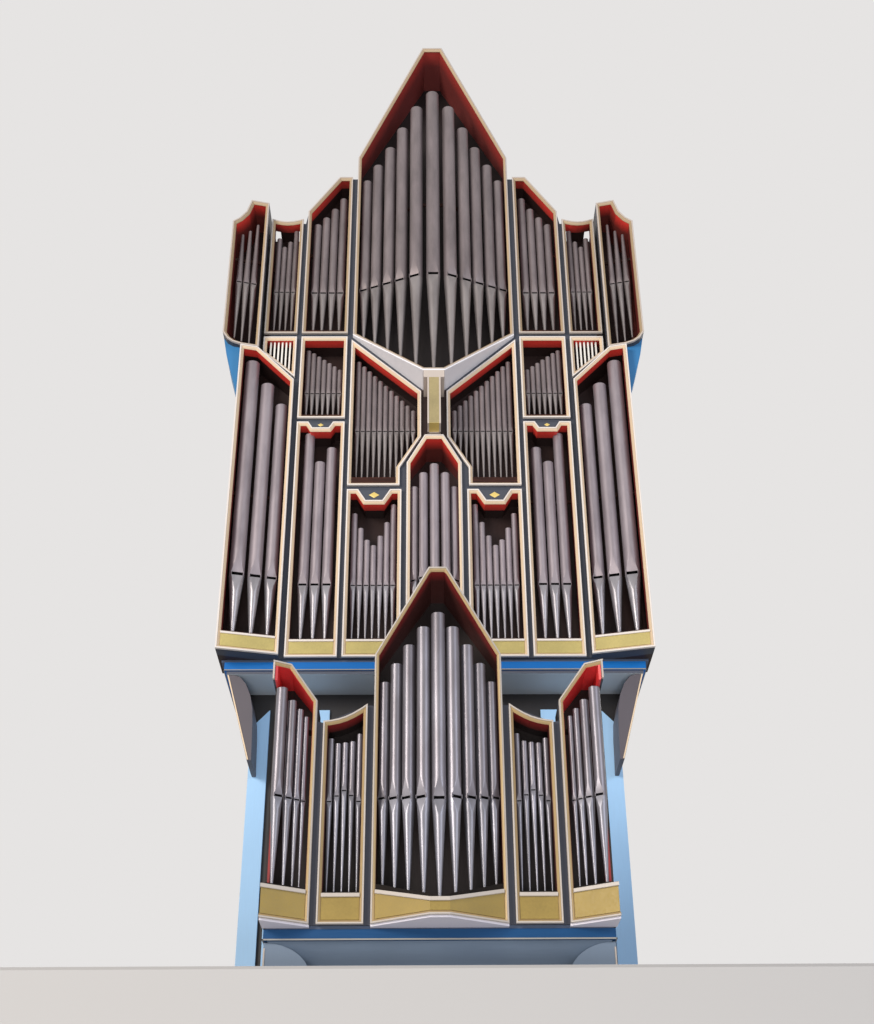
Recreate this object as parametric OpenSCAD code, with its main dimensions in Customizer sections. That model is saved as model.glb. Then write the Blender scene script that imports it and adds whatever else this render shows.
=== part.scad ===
// Two-case church pipe organ: a tall main case with a prow tower, side fields and turned
// pedal towers on an overhanging base, and a smaller chair case standing in front of it.
// Millimetres, +Z up, the fronts look along -Y. The origin lies on the floor, on the
// symmetry plane, below the front of the main case.

/* [Main case] */
// height of the underside of the framed fields above the floor
base_z = 2975; // [2600:5:3400]
// depth of the main case from its front to its back
case_d = 1500; // [1200:10:1800]
// half of the overall width of the case between the pedal towers' outer corners
case_half_w = 1715; // [1600:5:1850]
// depth of the pipe boxes behind the front
box_d = 260; // [200:5:340]
// thickness of the outer case boards
board_t = 30; // [20:1:45]
// width of the dark stiles between neighbouring fields
stile_w = 42; // [30:1:60]
// height of the gilt panels at the foot of the lower fields
panel_h = 135; // [90:5:170]
// how far the case's back stands inside the pedal towers' corners
back_in = 25; // [10:5:60]
// depth of the narrower upper case from its front to its back
upper_d = 900; // [700:10:1100]

/* [Lower case] */
// half width of the lower case at the floor
foot_half_w = 1450; // [1380:10:1500]
// how far the lower case's front stands behind the main front
foot_back = 460; // [400:10:520]
// height at which the lower case's sides begin to lean out
haunch_z = 2200; // [2000:10:2400]
// depth of the mouldings between the lower case and the framed fields
cornice_h = 115; // [105:5:160]
// how far the bright band stands inside the plinth above it
band_in = 25; // [15:5:40]

/* [Flat fields] */
// inner edge of the tall flat fields, from the symmetry plane
tall_x0 = 778; // [766:2:790]
// height of the tall flat fields above the base
tall_h = 2253; // [2175:3:2304]
// inner edge of the low flat fields, from the symmetry plane
low_x0 = 278; // [266:2:290]
// height of the low flat fields above the base
low_h = 1557; // [1505:4:1605]
// height of the second storey's top above the base
storey2_h = 3190; // [3165:5:3215]
// inner edge of the six-sided fields, from the symmetry plane
hex_x = 112; // [106:2:120]
// height of the shoulder fields' outer top corner
shoulder_low_z = 7690; // [7640:5:7740]
// height of the shoulder fields' flat top
shoulder_top_z = 8140; // [8080:5:8200]
// width of the shoulder fields' flat top
shoulder_flat = 127; // [110:1:150]
// width of the outermost upper fields
conc_w = 300; // [280:2:320]
// height of their hollowed top
conc_top_z = 7592; // [7560:4:7620]
// half width of the middle field's narrow facet
mid_nose = 80; // [70:1:90]
// how far that facet stands forward
mid_proj = 110; // [80:5:130]
// height of the middle field's shoulders above the base
mid_low_h = 1825; // [1785:5:1865]
// height of its peak above the base
mid_h = 2040; // [2005:5:2075]

/* [Prow tower] */
// half width of the tower
tower_half_w = 730; // [680:5:780]
// how far the tower's narrow middle facet stands forward of the front
tower_proj = 260; // [200:5:320]
// half width of the narrow middle facet
tower_nose = 97; // [70:1:120]
// height of the tower's shoulders
tower_shoulder_z = 8400; // [8200:10:8600]
// height of the tower's peak
tower_peak_z = 9680; // [9400:10:9900]
// height of the tower's lower outer corners
tower_low_z = 6190; // [6100:5:6300]
// height of the keel point under the tower
keel_z = 5600; // [5450:5:5700]

/* [Frames] */
// width of the outer edging of each frame
edge_w = 13; // [8:1:20]
// width of the inner moulding of each frame
bevel_w = 19; // [14:1:30]
// width of the edging on the chair case
chair_edge_w = 10; // [7:1:14]
// width of the inner moulding on the chair case
chair_bevel_w = 15; // [10:1:20]
// how far the edging stands in front of the case
frame_proud = 24; // [12:1:36]
// step from the edging back to the moulding
bevel_step = 4; // [3:1:14]
// thickness of the boards that line the boxes
lining_t = 14; // [10:1:20]
// depth of those boards in the flat fields and the pedal towers
lining_d = 110; // [80:5:115]
// how far the stiles between the fields stand back from the frames
stile_back = 12; // [6:1:20]
// thickness of the dark board around each box
shell_t = 12; // [8:1:20]

/* [Pedal towers] */
// inner edge of each pedal tower, as a share of the case's half width
pedal_share = 0.7207; // [0.7:0.0001:0.735]
// how far that edge stands forward of the flat fields
pedal_step = 50; // [30:5:70]
// how much further forward its outer edge stands
pedal_proj = 120; // [80:5:160]
// height of a pedal tower's flat top
pedal_top_z = 5950; // [5800:10:6050]
// height of the inner end of its sloping top
pedal_low_top_z = 5650; // [5500:10:5750]

/* [Upper wings] */
// how far an upper wing overhangs the pedal tower below it
wing_over = 165; // [120:5:200]
// height of the outer lower corner
wing_low_z = 6075; // [6000:5:6150]
// height of the outer upper corner
wing_shoulder_z = 7400; // [7200:10:7500]
// height of the inner flat top
wing_top_z = 7700; // [7550:10:7850]

/* [Pipes] */
// height of the mouths in the lower fields above the base
low_mouth_h = 692; // [625:1:745]
// height of the mouths in the tower and the upper fields
top_mouth_z = 6745; // [6690:1:6800]
// height of the mouths in the six-sided fields
hex_mouth_z = 5178; // [5140:1:5220]
// wall of a pipe, seen at its open end
pipe_wall = 3; // [2:0.5:5]
// depth of the open bore modelled at a pipe's top
pipe_bore = 90; // [40:5:200]
// distance from the front plane to the pipe axes
pipe_back = 100; // [80:5:140]

/* [Chair case] */
// distance from the main front to the chair case's front
chair_gap = 2250; // [1900:10:2500]
// depth of the chair case
chair_d = 700; // [550:10:900]
// underside of the chair case's framed fields
chair_base_z = 290; // [240:5:350]
// half width of the chair tower
chair_half_w = 385; // [350:5:420]
// how far the chair tower's middle facet stands forward
chair_proj = 190; // [140:5:240]
// half width of its middle facet
chair_nose = 55; // [40:1:70]
// height of the chair tower's shoulders
chair_shoulder_z = 1925; // [1800:5:2050]
// height of the chair tower's peak
chair_peak_z = 2430; // [2300:5:2550]
// half of the chair case's overall width
chair_wide = 985; // [930:5:1040]
// how far a chair wing's outer edge stands forward
chair_wing_proj = 150; // [100:5:190]
// outer edge of the chair case's flat fields, from the symmetry plane
chair_flat_x1 = 685; // [670:1:700]
// depth of the chair case's pipe boxes
chair_box = 230; // [200:5:260]
// height of the flat fields above the base, at their outer edge
chair_flat_h = 1200; // [1160:5:1240]
// height of the chair wings' inner top corner
chair_wing_low_z = 1620; // [1590:5:1650]
// height of the chair wings' flat top
chair_wing_top_z = 1820; // [1800:5:1850]
// height of the chair case's mouths
chair_mouth_z = 1003; // [980:1:1020]
// height of the chair tower's foot panel at its sides
chair_panel_h = 165; // [150:1:180]

/* [Keydesk] */
// half width between the outer faces of the keydesk's cheeks
desk_half_w = 780; // [720:5:840]
// height of the underside of the key bed above the floor
desk_z = 640; // [600:5:680]
// how far the keydesk stands out of the lower case
desk_out = 430; // [400:5:480]
// height of the cheeks above the key bed's underside
cheek_h = 560; // [500:5:620]
// pitch of the natural keys
key_w = 23.5; // [22.5:0.1:24]
// visible length of a natural key
key_l = 145; // [135:1:155]
// height of one manual above the other
manual_rise = 68; // [60:1:80]
// how far the upper manual stands back from the lower one
manual_back = 100; // [95:1:115]
// pitch of the pedal keys
pedal_pitch = 62; // [58:1:66]
// length of the pedalboard from front to back
pedalboard_l = 760; // [700:10:820]
// height of the tracker duct between the cases
duct_h = 50; // [40:5:60]

/* [Hidden] */
field_in = edge_w + bevel_w;
ch_field_in = chair_edge_w + chair_bevel_w;
toe_in = shell_t + lining_t;
cy = -chair_gap;
back_y = box_d + board_t;
pedal_x = case_half_w * pedal_share;
pedal_lean = pedal_proj / (case_half_w - pedal_x);

// 2-D helpers: an outline is a list of [x, z] points, anticlockwise seen from the front

function cross2(d, e) = d[0] * e[1] - d[1] * e[0];
function unit2(v) = v / norm(v);
function meet(p, d, q, e) = p + d * (cross2(q - p, e) / cross2(d, e));
function corner(a, b, c, t) =
    let (
        d1 = unit2(b - a),
        d2 = unit2(c - b),
        n1 = [-d1[1], d1[0]],
        n2 = [-d2[1], d2[0]]
    )
    abs(cross2(d1, d2)) < 0.0001 ? b + n1 * t : meet(b + n1 * t, d1, b + n2 * t, d2);
function inset(pts, t) =
    let (n = len(pts))
    [for (i = [0 : n - 1]) corner(pts[(i + n - 1) % n], pts[i], pts[(i + 1) % n], t)];

// an upright outline made solid from y0 back to y1
module slab(pts, y0, y1) {
    translate([0, y1, 0])
        rotate([90, 0, 0])
            linear_extrude(y1 - y0)
                polygon(pts);
}

// the band between two insets of an outline, made solid from y0 back to y1
module ring(pts, a, b, y0, y1) {
    translate([0, y1, 0])
        rotate([90, 0, 0])
            linear_extrude(y1 - y0)
                difference() {
                    polygon(a == 0 ? pts : inset(pts, a));
                    polygon(inset(pts, b));
                }
}

module both() {
    children();
    mirror([1, 0, 0])
        children();
}

// Fronts in plan: lists of [x, y] points from left to right

function shift(front, o) = [for (p = front) [p[0], p[1] + o]];
function rev(l) = [for (i = [len(l) - 1 : -1 : 0]) l[i]];

// a strip that follows a front, from offset o0 back to offset o1
module strip(front, o0, o1, z0, z1) {
    translate([0, 0, z0])
        linear_extrude(z1 - z0)
            polygon(concat(shift(front, o0), rev(shift(front, o1))));
}

// everything behind a front, from offset o0 back to the plane y1
module behind(front, o0, y1, z0, z1) {
    n = len(front);
    translate([0, 0, z0])
        linear_extrude(z1 - z0)
            polygon(concat(shift(front, o0), [[front[n - 1][0], y1], [front[0][0], y1]]));
}

// Fields in a flat front

// a frame: a raised edging, then a moulding that falls inwards in two steps
bevel_y = frame_proud - bevel_step;

module flat_frame(pts, y = 0, e = edge_w, b = bevel_w) {
    ring(pts, 0, e, y - frame_proud, y);
    ring(pts, e, e + b / 2, y - bevel_y, y);
    ring(pts, e + b / 2, e + b, y - bevel_y / 2, y);
}

module flat_lining(pts, y = 0, d = lining_d) {
    ring(pts, shell_t, shell_t + lining_t, y, y + d);
}

// Fields whose front is turned or breaks forward as a prow

module bent_frame(pts, front, z0, z1, e = edge_w, b = bevel_w) {
    intersection() {
        ring(pts, 0, e, front_min(front) - 60, 60 + front_max(front));
        strip(front, -frame_proud, 0, z0, z1);
    }
    intersection() {
        ring(pts, e, e + b / 2, front_min(front) - 60, 60 + front_max(front));
        strip(front, -bevel_y, 0, z0, z1);
    }
    intersection() {
        ring(pts, e + b / 2, e + b, front_min(front) - 60, 60 + front_max(front));
        strip(front, -bevel_y / 2, 0, z0, z1);
    }
}

function front_min(front) = min([for (p = front) p[1]]);
function front_max(front) = max([for (p = front) p[1]]);

module bent_lining(pts, front, y1, z0, z1) {
    intersection() {
        ring(pts, shell_t, shell_t + lining_t, front_min(front) - 60, y1);
        behind(front, 0, y1, z0, z1);
    }
}

// Pipes

// one pipe standing on z = 0, its mouth at the top of the foot, looking along -Y
module pipe(d, foot, body, top_d = 0) {
    td = top_d == 0 ? d : top_d;
    r = d / 2;
    cut = d * 0.26;
    difference() {
        rotate_extrude($fn = 40)
            polygon([[0, 0], [d * 0.11, 0], [r, foot], [td / 2, foot + body], [0, foot + body]]);
        translate([-r - 1, 0, 0])
            rotate([90, 0, 90])
                linear_extrude(d + 2)
                    polygon([
                        [-r - 5, foot - 0.9 * d],
                        [-r, foot - 0.9 * d],
                        [-r * 0.82, foot],
                        [-r * 0.45, foot],
                        [-r * 0.45, foot + cut],
                        [-r * 0.86, foot + cut],
                        [-r, foot + 2 * d],
                        [-r - 5, foot + 2 * d]
                    ]);
        translate([0, 0, foot + body - pipe_bore])
            cylinder(d = td - 2 * pipe_wall, h = pipe_bore + 1, $fn = 40);
    }
    // an ear on each side of the mouth
    for (s = [-1, 1])
        translate([s * d * 0.36 - d * 0.02, -r * 0.98, foot - d * 0.04])
            cube([d * 0.04, r * 0.5, cut + d * 0.12]);
}

// a straight row of pipes; tops are the heights of their ends
module rank(x0, x1, tops, mouth, foot_z, y, fill = 0.9) {
    n = len(tops);
    pitch = (x1 - x0) / n;
    for (i = [0 : n - 1])
        translate([x0 + pitch * (i + 0.5), y, foot_z])
            pipe(pitch * fill, mouth - foot_z, tops[i] - mouth);
}

// front line and facet angle of a broken front at x
function facet(front, x) = max([for (i = [0 : len(front) - 2]) front[i][0] <= x ? i : 0]);
function front_slope(front, x) =
    let (i = facet(front, x))
    (front[i + 1][1] - front[i][1]) / (front[i + 1][0] - front[i][0]);
function front_y(front, x) =
    let (i = facet(front, x))
    front[i][1] + (x - front[i][0]) * front_slope(front, x);

// one pipe behind a broken front, turned to face square out of its facet
module front_pipe(front, x, back, foot_z, mouth, top, d, top_d = 0) {
    translate([x, front_y(front, x) + back, foot_z])
        rotate([0, 0, atan(front_slope(front, x))])
            pipe(d, mouth - foot_z, top - mouth, top_d);
}

// places spread over a width, given as shares of it
function spread(x0, x1, shares) = [for (s = shares) x0 + (x1 - x0) * s];
// height at x of the line from p to q
function line_z(p, q, x) = p[1] + (x - p[0]) * (q[1] - p[1]) / (q[0] - p[0]);

// Outlines of the fields, right-hand side

tall_x1 = pedal_x - stile_w;
low_x1 = tall_x0 - stile_w + 4;
tall_top = base_z + tall_h;
low_top = base_z + low_h;
mid_hw = low_x0 - stile_w;
row2_z0 = tall_top + stile_w;
row2_z1 = base_z + storey2_h;
row3_z0 = row2_z1 + stile_w;
row3_foot = row3_z0 - stile_w / 2 + 4;
conc_x1 = pedal_x + conc_w;
hex_low_x = low_x0 + 17;
mid_top = base_z + mid_h;

// the notches leave room for a small plate in the middle of a field's top
tall_notch = [215, 62];
low_notch = [270, 108];
function notched(x0, x1, z0, z1, notch) =
    let (m = (x0 + x1) / 2, w = notch[0], h = notch[1])
    [[x0, z0], [x1, z0], [x1, z1], [m + w / 2, z1], [m + w / 2 - h * 0.6, z1 - h],
     [m - w / 2 + h * 0.6, z1 - h], [m - w / 2, z1], [x0, z1]];

// a hollowed edge from a to b, seen as a shallow arc
function hollow(a, b, depth) =
    [for (k = [0 : 6]) a + (b - a) * k / 6 - [0, depth * sin(k * 30)]];

ped_flat = 150;
ped_pts = [
    [pedal_x, base_z],
    [case_half_w, base_z],
    [case_half_w, pedal_top_z],
    [case_half_w - ped_flat, pedal_top_z],
    [pedal_x, pedal_low_top_z]
];
ped_front = [[pedal_x, -pedal_step], [case_half_w, -pedal_step - pedal_proj]];
tall_pts = notched(tall_x0, tall_x1, base_z, tall_top, tall_notch);
low_pts = notched(low_x0, low_x1, base_z, low_top, low_notch);
small_pts = [[tall_x0, row2_z0], [tall_x1, row2_z0], [tall_x1, row2_z1], [tall_x0, row2_z1]];
hex_pts = [
    [hex_low_x, low_top + stile_w],
    [low_x1, low_top + stile_w],
    [low_x1, tower_low_z - 60],
    [hex_x, keel_z - 45],
    [hex_x, mid_top + 55],
    [hex_low_x, base_z + mid_low_h - 45]
];
gril_pts = [
    [pedal_x, pedal_low_top_z + 60],
    [conc_x1, pedal_top_z + 40],
    [conc_x1, row2_z1],
    [pedal_x, row2_z1]
];
shou_pts = [
    [tall_x0, row3_z0],
    [tall_x1, row3_z0],
    [tall_x1, shoulder_low_z],
    [tall_x0 + shoulder_flat, shoulder_top_z],
    [tall_x0, shoulder_top_z]
];
conc_pts = concat(
    [[pedal_x, row3_z0], [conc_x1, row3_z0]],
    hollow([conc_x1, conc_top_z], [pedal_x, conc_top_z], 34)
);
tower_pts = [
    [tower_nose, keel_z],
    [tower_half_w, tower_low_z],
    [tower_half_w, tower_shoulder_z],
    [tower_nose, tower_peak_z],
    [-tower_nose, tower_peak_z],
    [-tower_half_w, tower_shoulder_z],
    [-tower_half_w, tower_low_z],
    [-tower_nose, keel_z]
];
tower_front = [[-tower_half_w, 0], [-tower_nose, -tower_proj], [tower_nose, -tower_proj],
               [tower_half_w, 0]];
mid_pts = [[mid_hw, base_z], [mid_hw, base_z + mid_low_h], [mid_nose, mid_top],
           [-mid_nose, mid_top], [-mid_hw, base_z + mid_low_h], [-mid_hw, base_z]];
mid_front = [[-mid_hw, 0], [-mid_nose, -mid_proj], [mid_nose, -mid_proj], [mid_hw, 0]];
uw_x0 = conc_x1 + 26;
uw_x1 = case_half_w + wing_over;
uw_front = shift([[uw_x0, -(uw_x0 - pedal_x) * pedal_lean], [uw_x1, -(uw_x1 - pedal_x) * pedal_lean]],
    -20);
uw_pts = [
    [uw_x0, pedal_top_z + 24],
    [uw_x1 - 165, pedal_top_z + 24],
    [uw_x1 - 90, pedal_top_z + 40],
    [uw_x1 - 40, pedal_top_z + 72],
    [uw_x1, wing_low_z + 8],
    [uw_x1, wing_shoulder_z],
    [uw_x1 - 60, wing_shoulder_z + 60],
    [uw_x1 - 115, wing_shoulder_z + 150],
    [uw_x1 - 155, wing_top_z],
    [uw_x0, wing_top_z]
];
ch_flat_x0 = chair_half_w + 38;
ch_wing_x0 = chair_flat_x1 + 39;
ch_z = chair_base_z;
ch_tower_pts = [
    [chair_half_w, ch_z],
    [chair_half_w, chair_shoulder_z],
    [chair_nose, chair_peak_z],
    [-chair_nose, chair_peak_z],
    [-chair_half_w, chair_shoulder_z],
    [-chair_half_w, ch_z]
];
ch_front = [[-chair_half_w, cy], [-chair_nose, cy - chair_proj], [chair_nose, cy - chair_proj],
            [chair_half_w, cy]];
ch_flat_top = ch_z + chair_flat_h;
ch_flat_rise = 110;
ch_flat_pts = concat(
    [[ch_flat_x0, ch_z], [chair_flat_x1, ch_z]],
    hollow([chair_flat_x1, ch_flat_top], [ch_flat_x0, ch_flat_top + ch_flat_rise], 26)
);
ch_wing_pts = [
    [ch_wing_x0, ch_z],
    [chair_wide, ch_z],
    [chair_wide, chair_wing_top_z],
    [chair_wide - 105, chair_wing_top_z],
    [ch_wing_x0, chair_wing_low_z]
];
ch_wing_front = [[ch_wing_x0, cy], [chair_wide, cy - chair_wing_proj]];

// Main case: base

// half widths of the base's mouldings, from the top down
plinth_hw = case_half_w - band_in;
band_hw = plinth_hw - band_in;
soffit_hw = band_hw - 20;
haunch_hw = soffit_hw - 5;
haunch_top = base_z - cornice_h;
base_y = 40;
plinth_h = 20;
band_h = 70;

module lower_case() {
    color("#3a404c")
        difference() {
            slab([[-foot_half_w, 0], [foot_half_w, 0], [foot_half_w, haunch_z], [haunch_hw, haunch_top],
                  [-haunch_hw, haunch_top], [-foot_half_w, haunch_z]], foot_back, case_d);
            slab([[-foot_half_w + board_t, board_t], [foot_half_w - board_t, board_t],
                  [foot_half_w - board_t, haunch_z + 4], [haunch_hw - board_t - 7, haunch_top - board_t],
                  [-haunch_hw + board_t + 7, haunch_top - board_t], [-foot_half_w + board_t, haunch_z + 4]],
                foot_back + board_t, case_d - board_t);
            back_panels(-foot_half_w, foot_half_w, 0, haunch_top, 4, 2, case_d);
            side_panels(foot_half_w, foot_back, case_d, 0, haunch_z, 2, 2);
        }
}

// light panels on the lower case's front; the outer ones have a slanted shoulder
panel_top = haunch_top - 145;
module case_panels() {
    color("#96c3eb")
        both() {
            slab([[foot_half_w - 600, 60], [foot_half_w - 160, 60], [foot_half_w - 160, panel_top],
                  [foot_half_w - 600, panel_top]], foot_back - 24, foot_back);
            slab([[foot_half_w - 120, 60], [foot_half_w + 25, 60], [foot_half_w + 25, panel_top - 155],
                  [foot_half_w - 120, panel_top]], foot_back - board_t, foot_back);
        }
}

// coved brackets that carry the overhanging ends
module case_brackets() {
    toe_x = foot_half_w - 40;
    toe_z = haunch_z - 50;
    top_x = haunch_hw - 50;
    cove = [for (k = [0 : 5]) [toe_x + 8 + (top_x - toe_x - 8) * (1 - cos(k * 18)),
        toe_z + 300 + (haunch_top - toe_z - 300) * sin(k * 18)]];
    color("#6e8291")
        both()
            slab(concat([[toe_x, toe_z], [toe_x + 33, toe_z], [haunch_hw, haunch_top]], rev(cove)),
                70, foot_back - board_t);
}

module case_plinth() {
    color("#343a46")
        translate([-plinth_hw, base_y, base_z - plinth_h])
            cube([2 * plinth_hw, case_d - base_y, plinth_h]);
}

module case_band() {
    color("#2470b4")
        translate([-band_hw, base_y, base_z - plinth_h - band_h])
            cube([2 * band_hw, case_d - base_y, band_h]);
}

module case_soffit() {
    color("#6e8291")
        translate([-soffit_hw, base_y + 15, haunch_top])
            cube([2 * soffit_hw, case_d - base_y - 15, cornice_h - plinth_h - band_h]);
}

// Main case: dark bodies behind the fields

module lower_body() {
    sil = [[-pedal_x, base_z], [pedal_x, base_z], [pedal_x, pedal_low_top_z + 32],
           [conc_x1, pedal_top_z + 12], [conc_x1, row3_foot], [-conc_x1, row3_foot],
           [-conc_x1, pedal_top_z + 12], [-pedal_x, pedal_low_top_z + 32]];
    color("#3a404c")
        difference() {
            slab(sil, stile_back, back_y);
            both()
                for (pts = [tall_pts, low_pts, small_pts, hex_pts, gril_pts])
                    slab(inset(pts, shell_t), -50, box_d);
            slab(inset(mid_pts, shell_t), -50, box_d);
            slab(tower_pts, -50, back_y + 1);
        }
}

module upper_body() {
    color("#3a404c")
        both()
            difference() {
                slab([[tower_half_w, row3_foot], [conc_x1, row3_foot], [conc_x1, conc_top_z - 34],
                      [pedal_x - 20, conc_top_z - 34], [tall_x1, shoulder_low_z],
                      [tall_x0 + shoulder_flat, shoulder_top_z], [tower_half_w, shoulder_top_z]],
                    stile_back, back_y);
                slab(inset(shou_pts, shell_t), -50, box_d);
                slab(inset(conc_pts, shell_t), -50, box_d);
            }
}

module tower_body() {
    color("#3a404c")
        difference() {
            intersection() {
                slab(tower_pts, -tower_proj - 50, back_y);
                behind(tower_front, stile_back, back_y, keel_z - 10, tower_peak_z + 10);
            }
            slab(inset(tower_pts, shell_t), -tower_proj - 60, box_d);
        }
}

module outer_bodies() {
    color("#3a404c")
        both() {
            difference() {
                intersection() {
                    slab(ped_pts, -pedal_proj - 50, back_y);
                    behind(ped_front, stile_back, back_y, base_z, pedal_top_z);
                }
                slab(inset(ped_pts, shell_t), -pedal_proj - 60, box_d);
            }
            difference() {
                intersection() {
                    slab(uw_pts, -260, back_y);
                    behind(uw_front, stile_back, back_y, base_z, wing_top_z + 10);
                }
                slab(inset(uw_pts, shell_t), -300, box_d);
            }
        }
}

// closed boxes behind the storeys, each of thin boards
module back_box(pts, y1) {
    difference() {
        slab(pts, back_y, y1);
        slab(inset(pts, board_t), back_y - 1, y1 - board_t);
    }
}

// joinery: shallow sunk panels between stiles and rails, cut into a back or a side
rail_w = 110;
sink = 9;
module back_panels(x0, x1, z0, z1, cols, rows, y) {
    w = (x1 - x0 - rail_w) / cols;
    h = (z1 - z0 - rail_w) / rows;
    for (i = [0 : cols - 1], j = [0 : rows - 1])
        translate([x0 + rail_w + i * w, y - sink, z0 + rail_w + j * h])
            cube([w - rail_w, sink + 1, h - rail_w]);
}

module side_panels(x, y0, y1, z0, z1, cols, rows) {
    w = (y1 - y0 - rail_w) / cols;
    h = (z1 - z0 - rail_w) / rows;
    both()
        for (i = [0 : cols - 1], j = [0 : rows - 1])
            translate([x - sink, y0 + rail_w + i * w, z0 + rail_w + j * h])
                cube([sink + 1, w - rail_w, h - rail_w]);
}

module lower_back() {
    hw = case_half_w - back_in;
    color("#3a404c")
        difference() {
            back_box([[-hw, base_z], [hw, base_z], [hw, row3_foot], [-hw, row3_foot]], case_d);
            back_panels(-hw, hw, base_z, row3_foot, 5, 3, case_d);
            side_panels(hw, back_y, case_d, base_z, row3_foot, 2, 3);
        }
}

module upper_back() {
    color("#3a404c")
        difference() {
            both()
                back_box([[tower_half_w, row3_foot], [conc_x1, row3_foot], [conc_x1, conc_top_z - 34],
                          [tall_x1, conc_top_z - 34], [tall_x0 + shoulder_flat, shoulder_top_z],
                          [tower_half_w, shoulder_top_z]], upper_d);
            both()
                back_panels(tower_half_w, conc_x1, row3_foot, conc_top_z - 34, 2, 1, upper_d);
            side_panels(conc_x1, back_y, upper_d, row3_foot, conc_top_z - 34, 1, 1);
        }
}

module tower_back() {
    color("#3a404c")
        difference() {
            back_box([[-tower_half_w, row3_foot], [tower_half_w, row3_foot],
                      [tower_half_w, tower_shoulder_z], [tower_nose, tower_peak_z],
                      [-tower_nose, tower_peak_z], [-tower_half_w, tower_shoulder_z]], upper_d);
            back_panels(-tower_half_w, tower_half_w, row3_foot, tower_shoulder_z, 2, 2, upper_d);
        }
}

soffit_t = 12;

module v_soffit() {
    color("#d2cdd6")
        intersection() {
            slab([[tower_nose, keel_z], [tower_half_w, tower_low_z],
                  [tower_half_w, tower_low_z - soffit_t], [tower_nose, keel_z - soffit_t],
                  [-tower_nose, keel_z - soffit_t], [-tower_half_w, tower_low_z - soffit_t],
                  [-tower_half_w, tower_low_z], [-tower_nose, keel_z]], -tower_proj - 30, stile_back);
            behind(tower_front, -frame_proud, stile_back, keel_z - 20, tower_low_z + 1);
        }
}

// the same under the prow and the turned wings of the chair case
module chair_soffit() {
    color("#d2cdd6") {
        behind(ch_front, 0, cy + 28, ch_z - soffit_t, ch_z);
        both()
            behind(ch_wing_front, 0, cy + 28, ch_z - soffit_t, ch_z);
    }
}

// upright block that runs down from the point of the soffit to the middle field
keel_hw = 90;
keel_head_h = 75;
keel_shaft_hw = 57;
module keel() {
    top = keel_z - soffit_t;
    low = mid_top + 15;
    color("#ead9b0")
        intersection() {
            slab([[keel_shaft_hw, low], [keel_shaft_hw, top - keel_head_h],
                  [keel_hw, top - keel_head_h], [keel_hw, top], [-keel_hw, top],
                  [-keel_hw, top - keel_head_h], [-keel_shaft_hw, top - keel_head_h],
                  [-keel_shaft_hw, low]], -tower_proj - 30, stile_back);
            behind(tower_front, -frame_proud, stile_back, low - 1, keel_z);
        }
}

// Fields: frames

module low_rail(x0, x1, y, z, f = field_in, e = edge_w) {
    translate([x0 + f, y - bevel_y, z])
        cube([x1 - x0 - 2 * f, bevel_y, e]);
}

// the same on a turned or broken front
module front_low_rail(front, x0, x1, z, f = field_in, e = edge_w) {
    intersection() {
        strip(front, -bevel_y, 0, z, z + e);
        translate([x0 + f, front_min(front) - 50, z - 1])
            cube([x1 - x0 - 2 * f, 400, e + 2]);
    }
}

module lower_frames() {
    rail_z = base_z + panel_h;
    color("#ead9b0") {
        both() {
            flat_frame(tall_pts);
            low_rail(tall_x0, tall_x1, 0, rail_z);
            flat_frame(low_pts);
            low_rail(low_x0, low_x1, 0, rail_z);
            bent_frame(ped_pts, ped_front, base_z - 10, pedal_top_z + 10);
            front_low_rail(ped_front, pedal_x, case_half_w, rail_z);
        }
        bent_frame(mid_pts, mid_front, base_z - 10, mid_top + 10);
        front_low_rail(mid_front, -mid_hw, mid_hw, rail_z);
    }
}

module middle_frames() {
    color("#ead9b0") both() {
        flat_frame(small_pts);
        flat_frame(gril_pts);
        flat_frame(hex_pts);
    }
}

module upper_frames() {
    color("#ead9b0") both() {
        flat_frame(shou_pts);
        flat_frame(conc_pts);
        bent_frame(uw_pts, uw_front, base_z, wing_top_z + 10);
    }
}

module tower_frame() {
    color("#ead9b0") bent_frame(tower_pts, tower_front, keel_z - 10, tower_peak_z + 10);
}

// Fields: red linings

module field_linings() {
    color("#b02a20") {
        both() {
            for (pts = [tall_pts, low_pts, small_pts, hex_pts, gril_pts, shou_pts, conc_pts])
                flat_lining(pts);
            intersection() {
                bent_lining(ped_pts, ped_front, box_d, base_z - 10, pedal_top_z + 10);
                strip(ped_front, 0, lining_d, base_z, pedal_top_z);
            }
            bent_lining(uw_pts, uw_front, box_d, base_z, wing_top_z + 10);
        }
        bent_lining(mid_pts, mid_front, box_d, base_z - 10, mid_top + 10);
    }
}

module tower_lining() {
    color("#b02a20") bent_lining(tower_pts, tower_front, box_d, keel_z - 10, tower_peak_z + 10);
}

// blue coves under the overhang of the upper wings
module wing_coves() {
    foot = pedal_top_z - 550;
    rise = wing_low_z + 8 - foot;
    color("#3c82b4")
        both()
            slab([[case_half_w, foot], [case_half_w + wing_over * 0.19, foot + rise * 0.19],
                  [case_half_w + wing_over * 0.47, foot + rise * 0.44],
                  [case_half_w + wing_over * 0.79, foot + rise * 0.73],
                  [uw_x1, wing_low_z + 8], [uw_x1 - 40, pedal_top_z + 72],
                  [uw_x1 - 90, pedal_top_z + 40], [case_half_w, pedal_top_z + 24]],
                -pedal_proj + 20, back_y);
}

// white upright slats of the grilles
slat_w = 14;
slat_pitch = 35;
module grille_slats() {
    slats = floor((conc_w - 2 * field_in) / slat_pitch);
    first = pedal_x + conc_w / 2 - (slats - 1) * slat_pitch / 2 - slat_w / 2;
    color("#e8e4dc")
        both()
            for (i = [0 : slats - 1])
                intersection() {
                    translate([first + i * slat_pitch, 30, pedal_low_top_z])
                        cube([slat_w, 30, row2_z1 - pedal_low_top_z]);
                    slab(inset(gril_pts, toe_in), 0, 100);
                }
}

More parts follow.
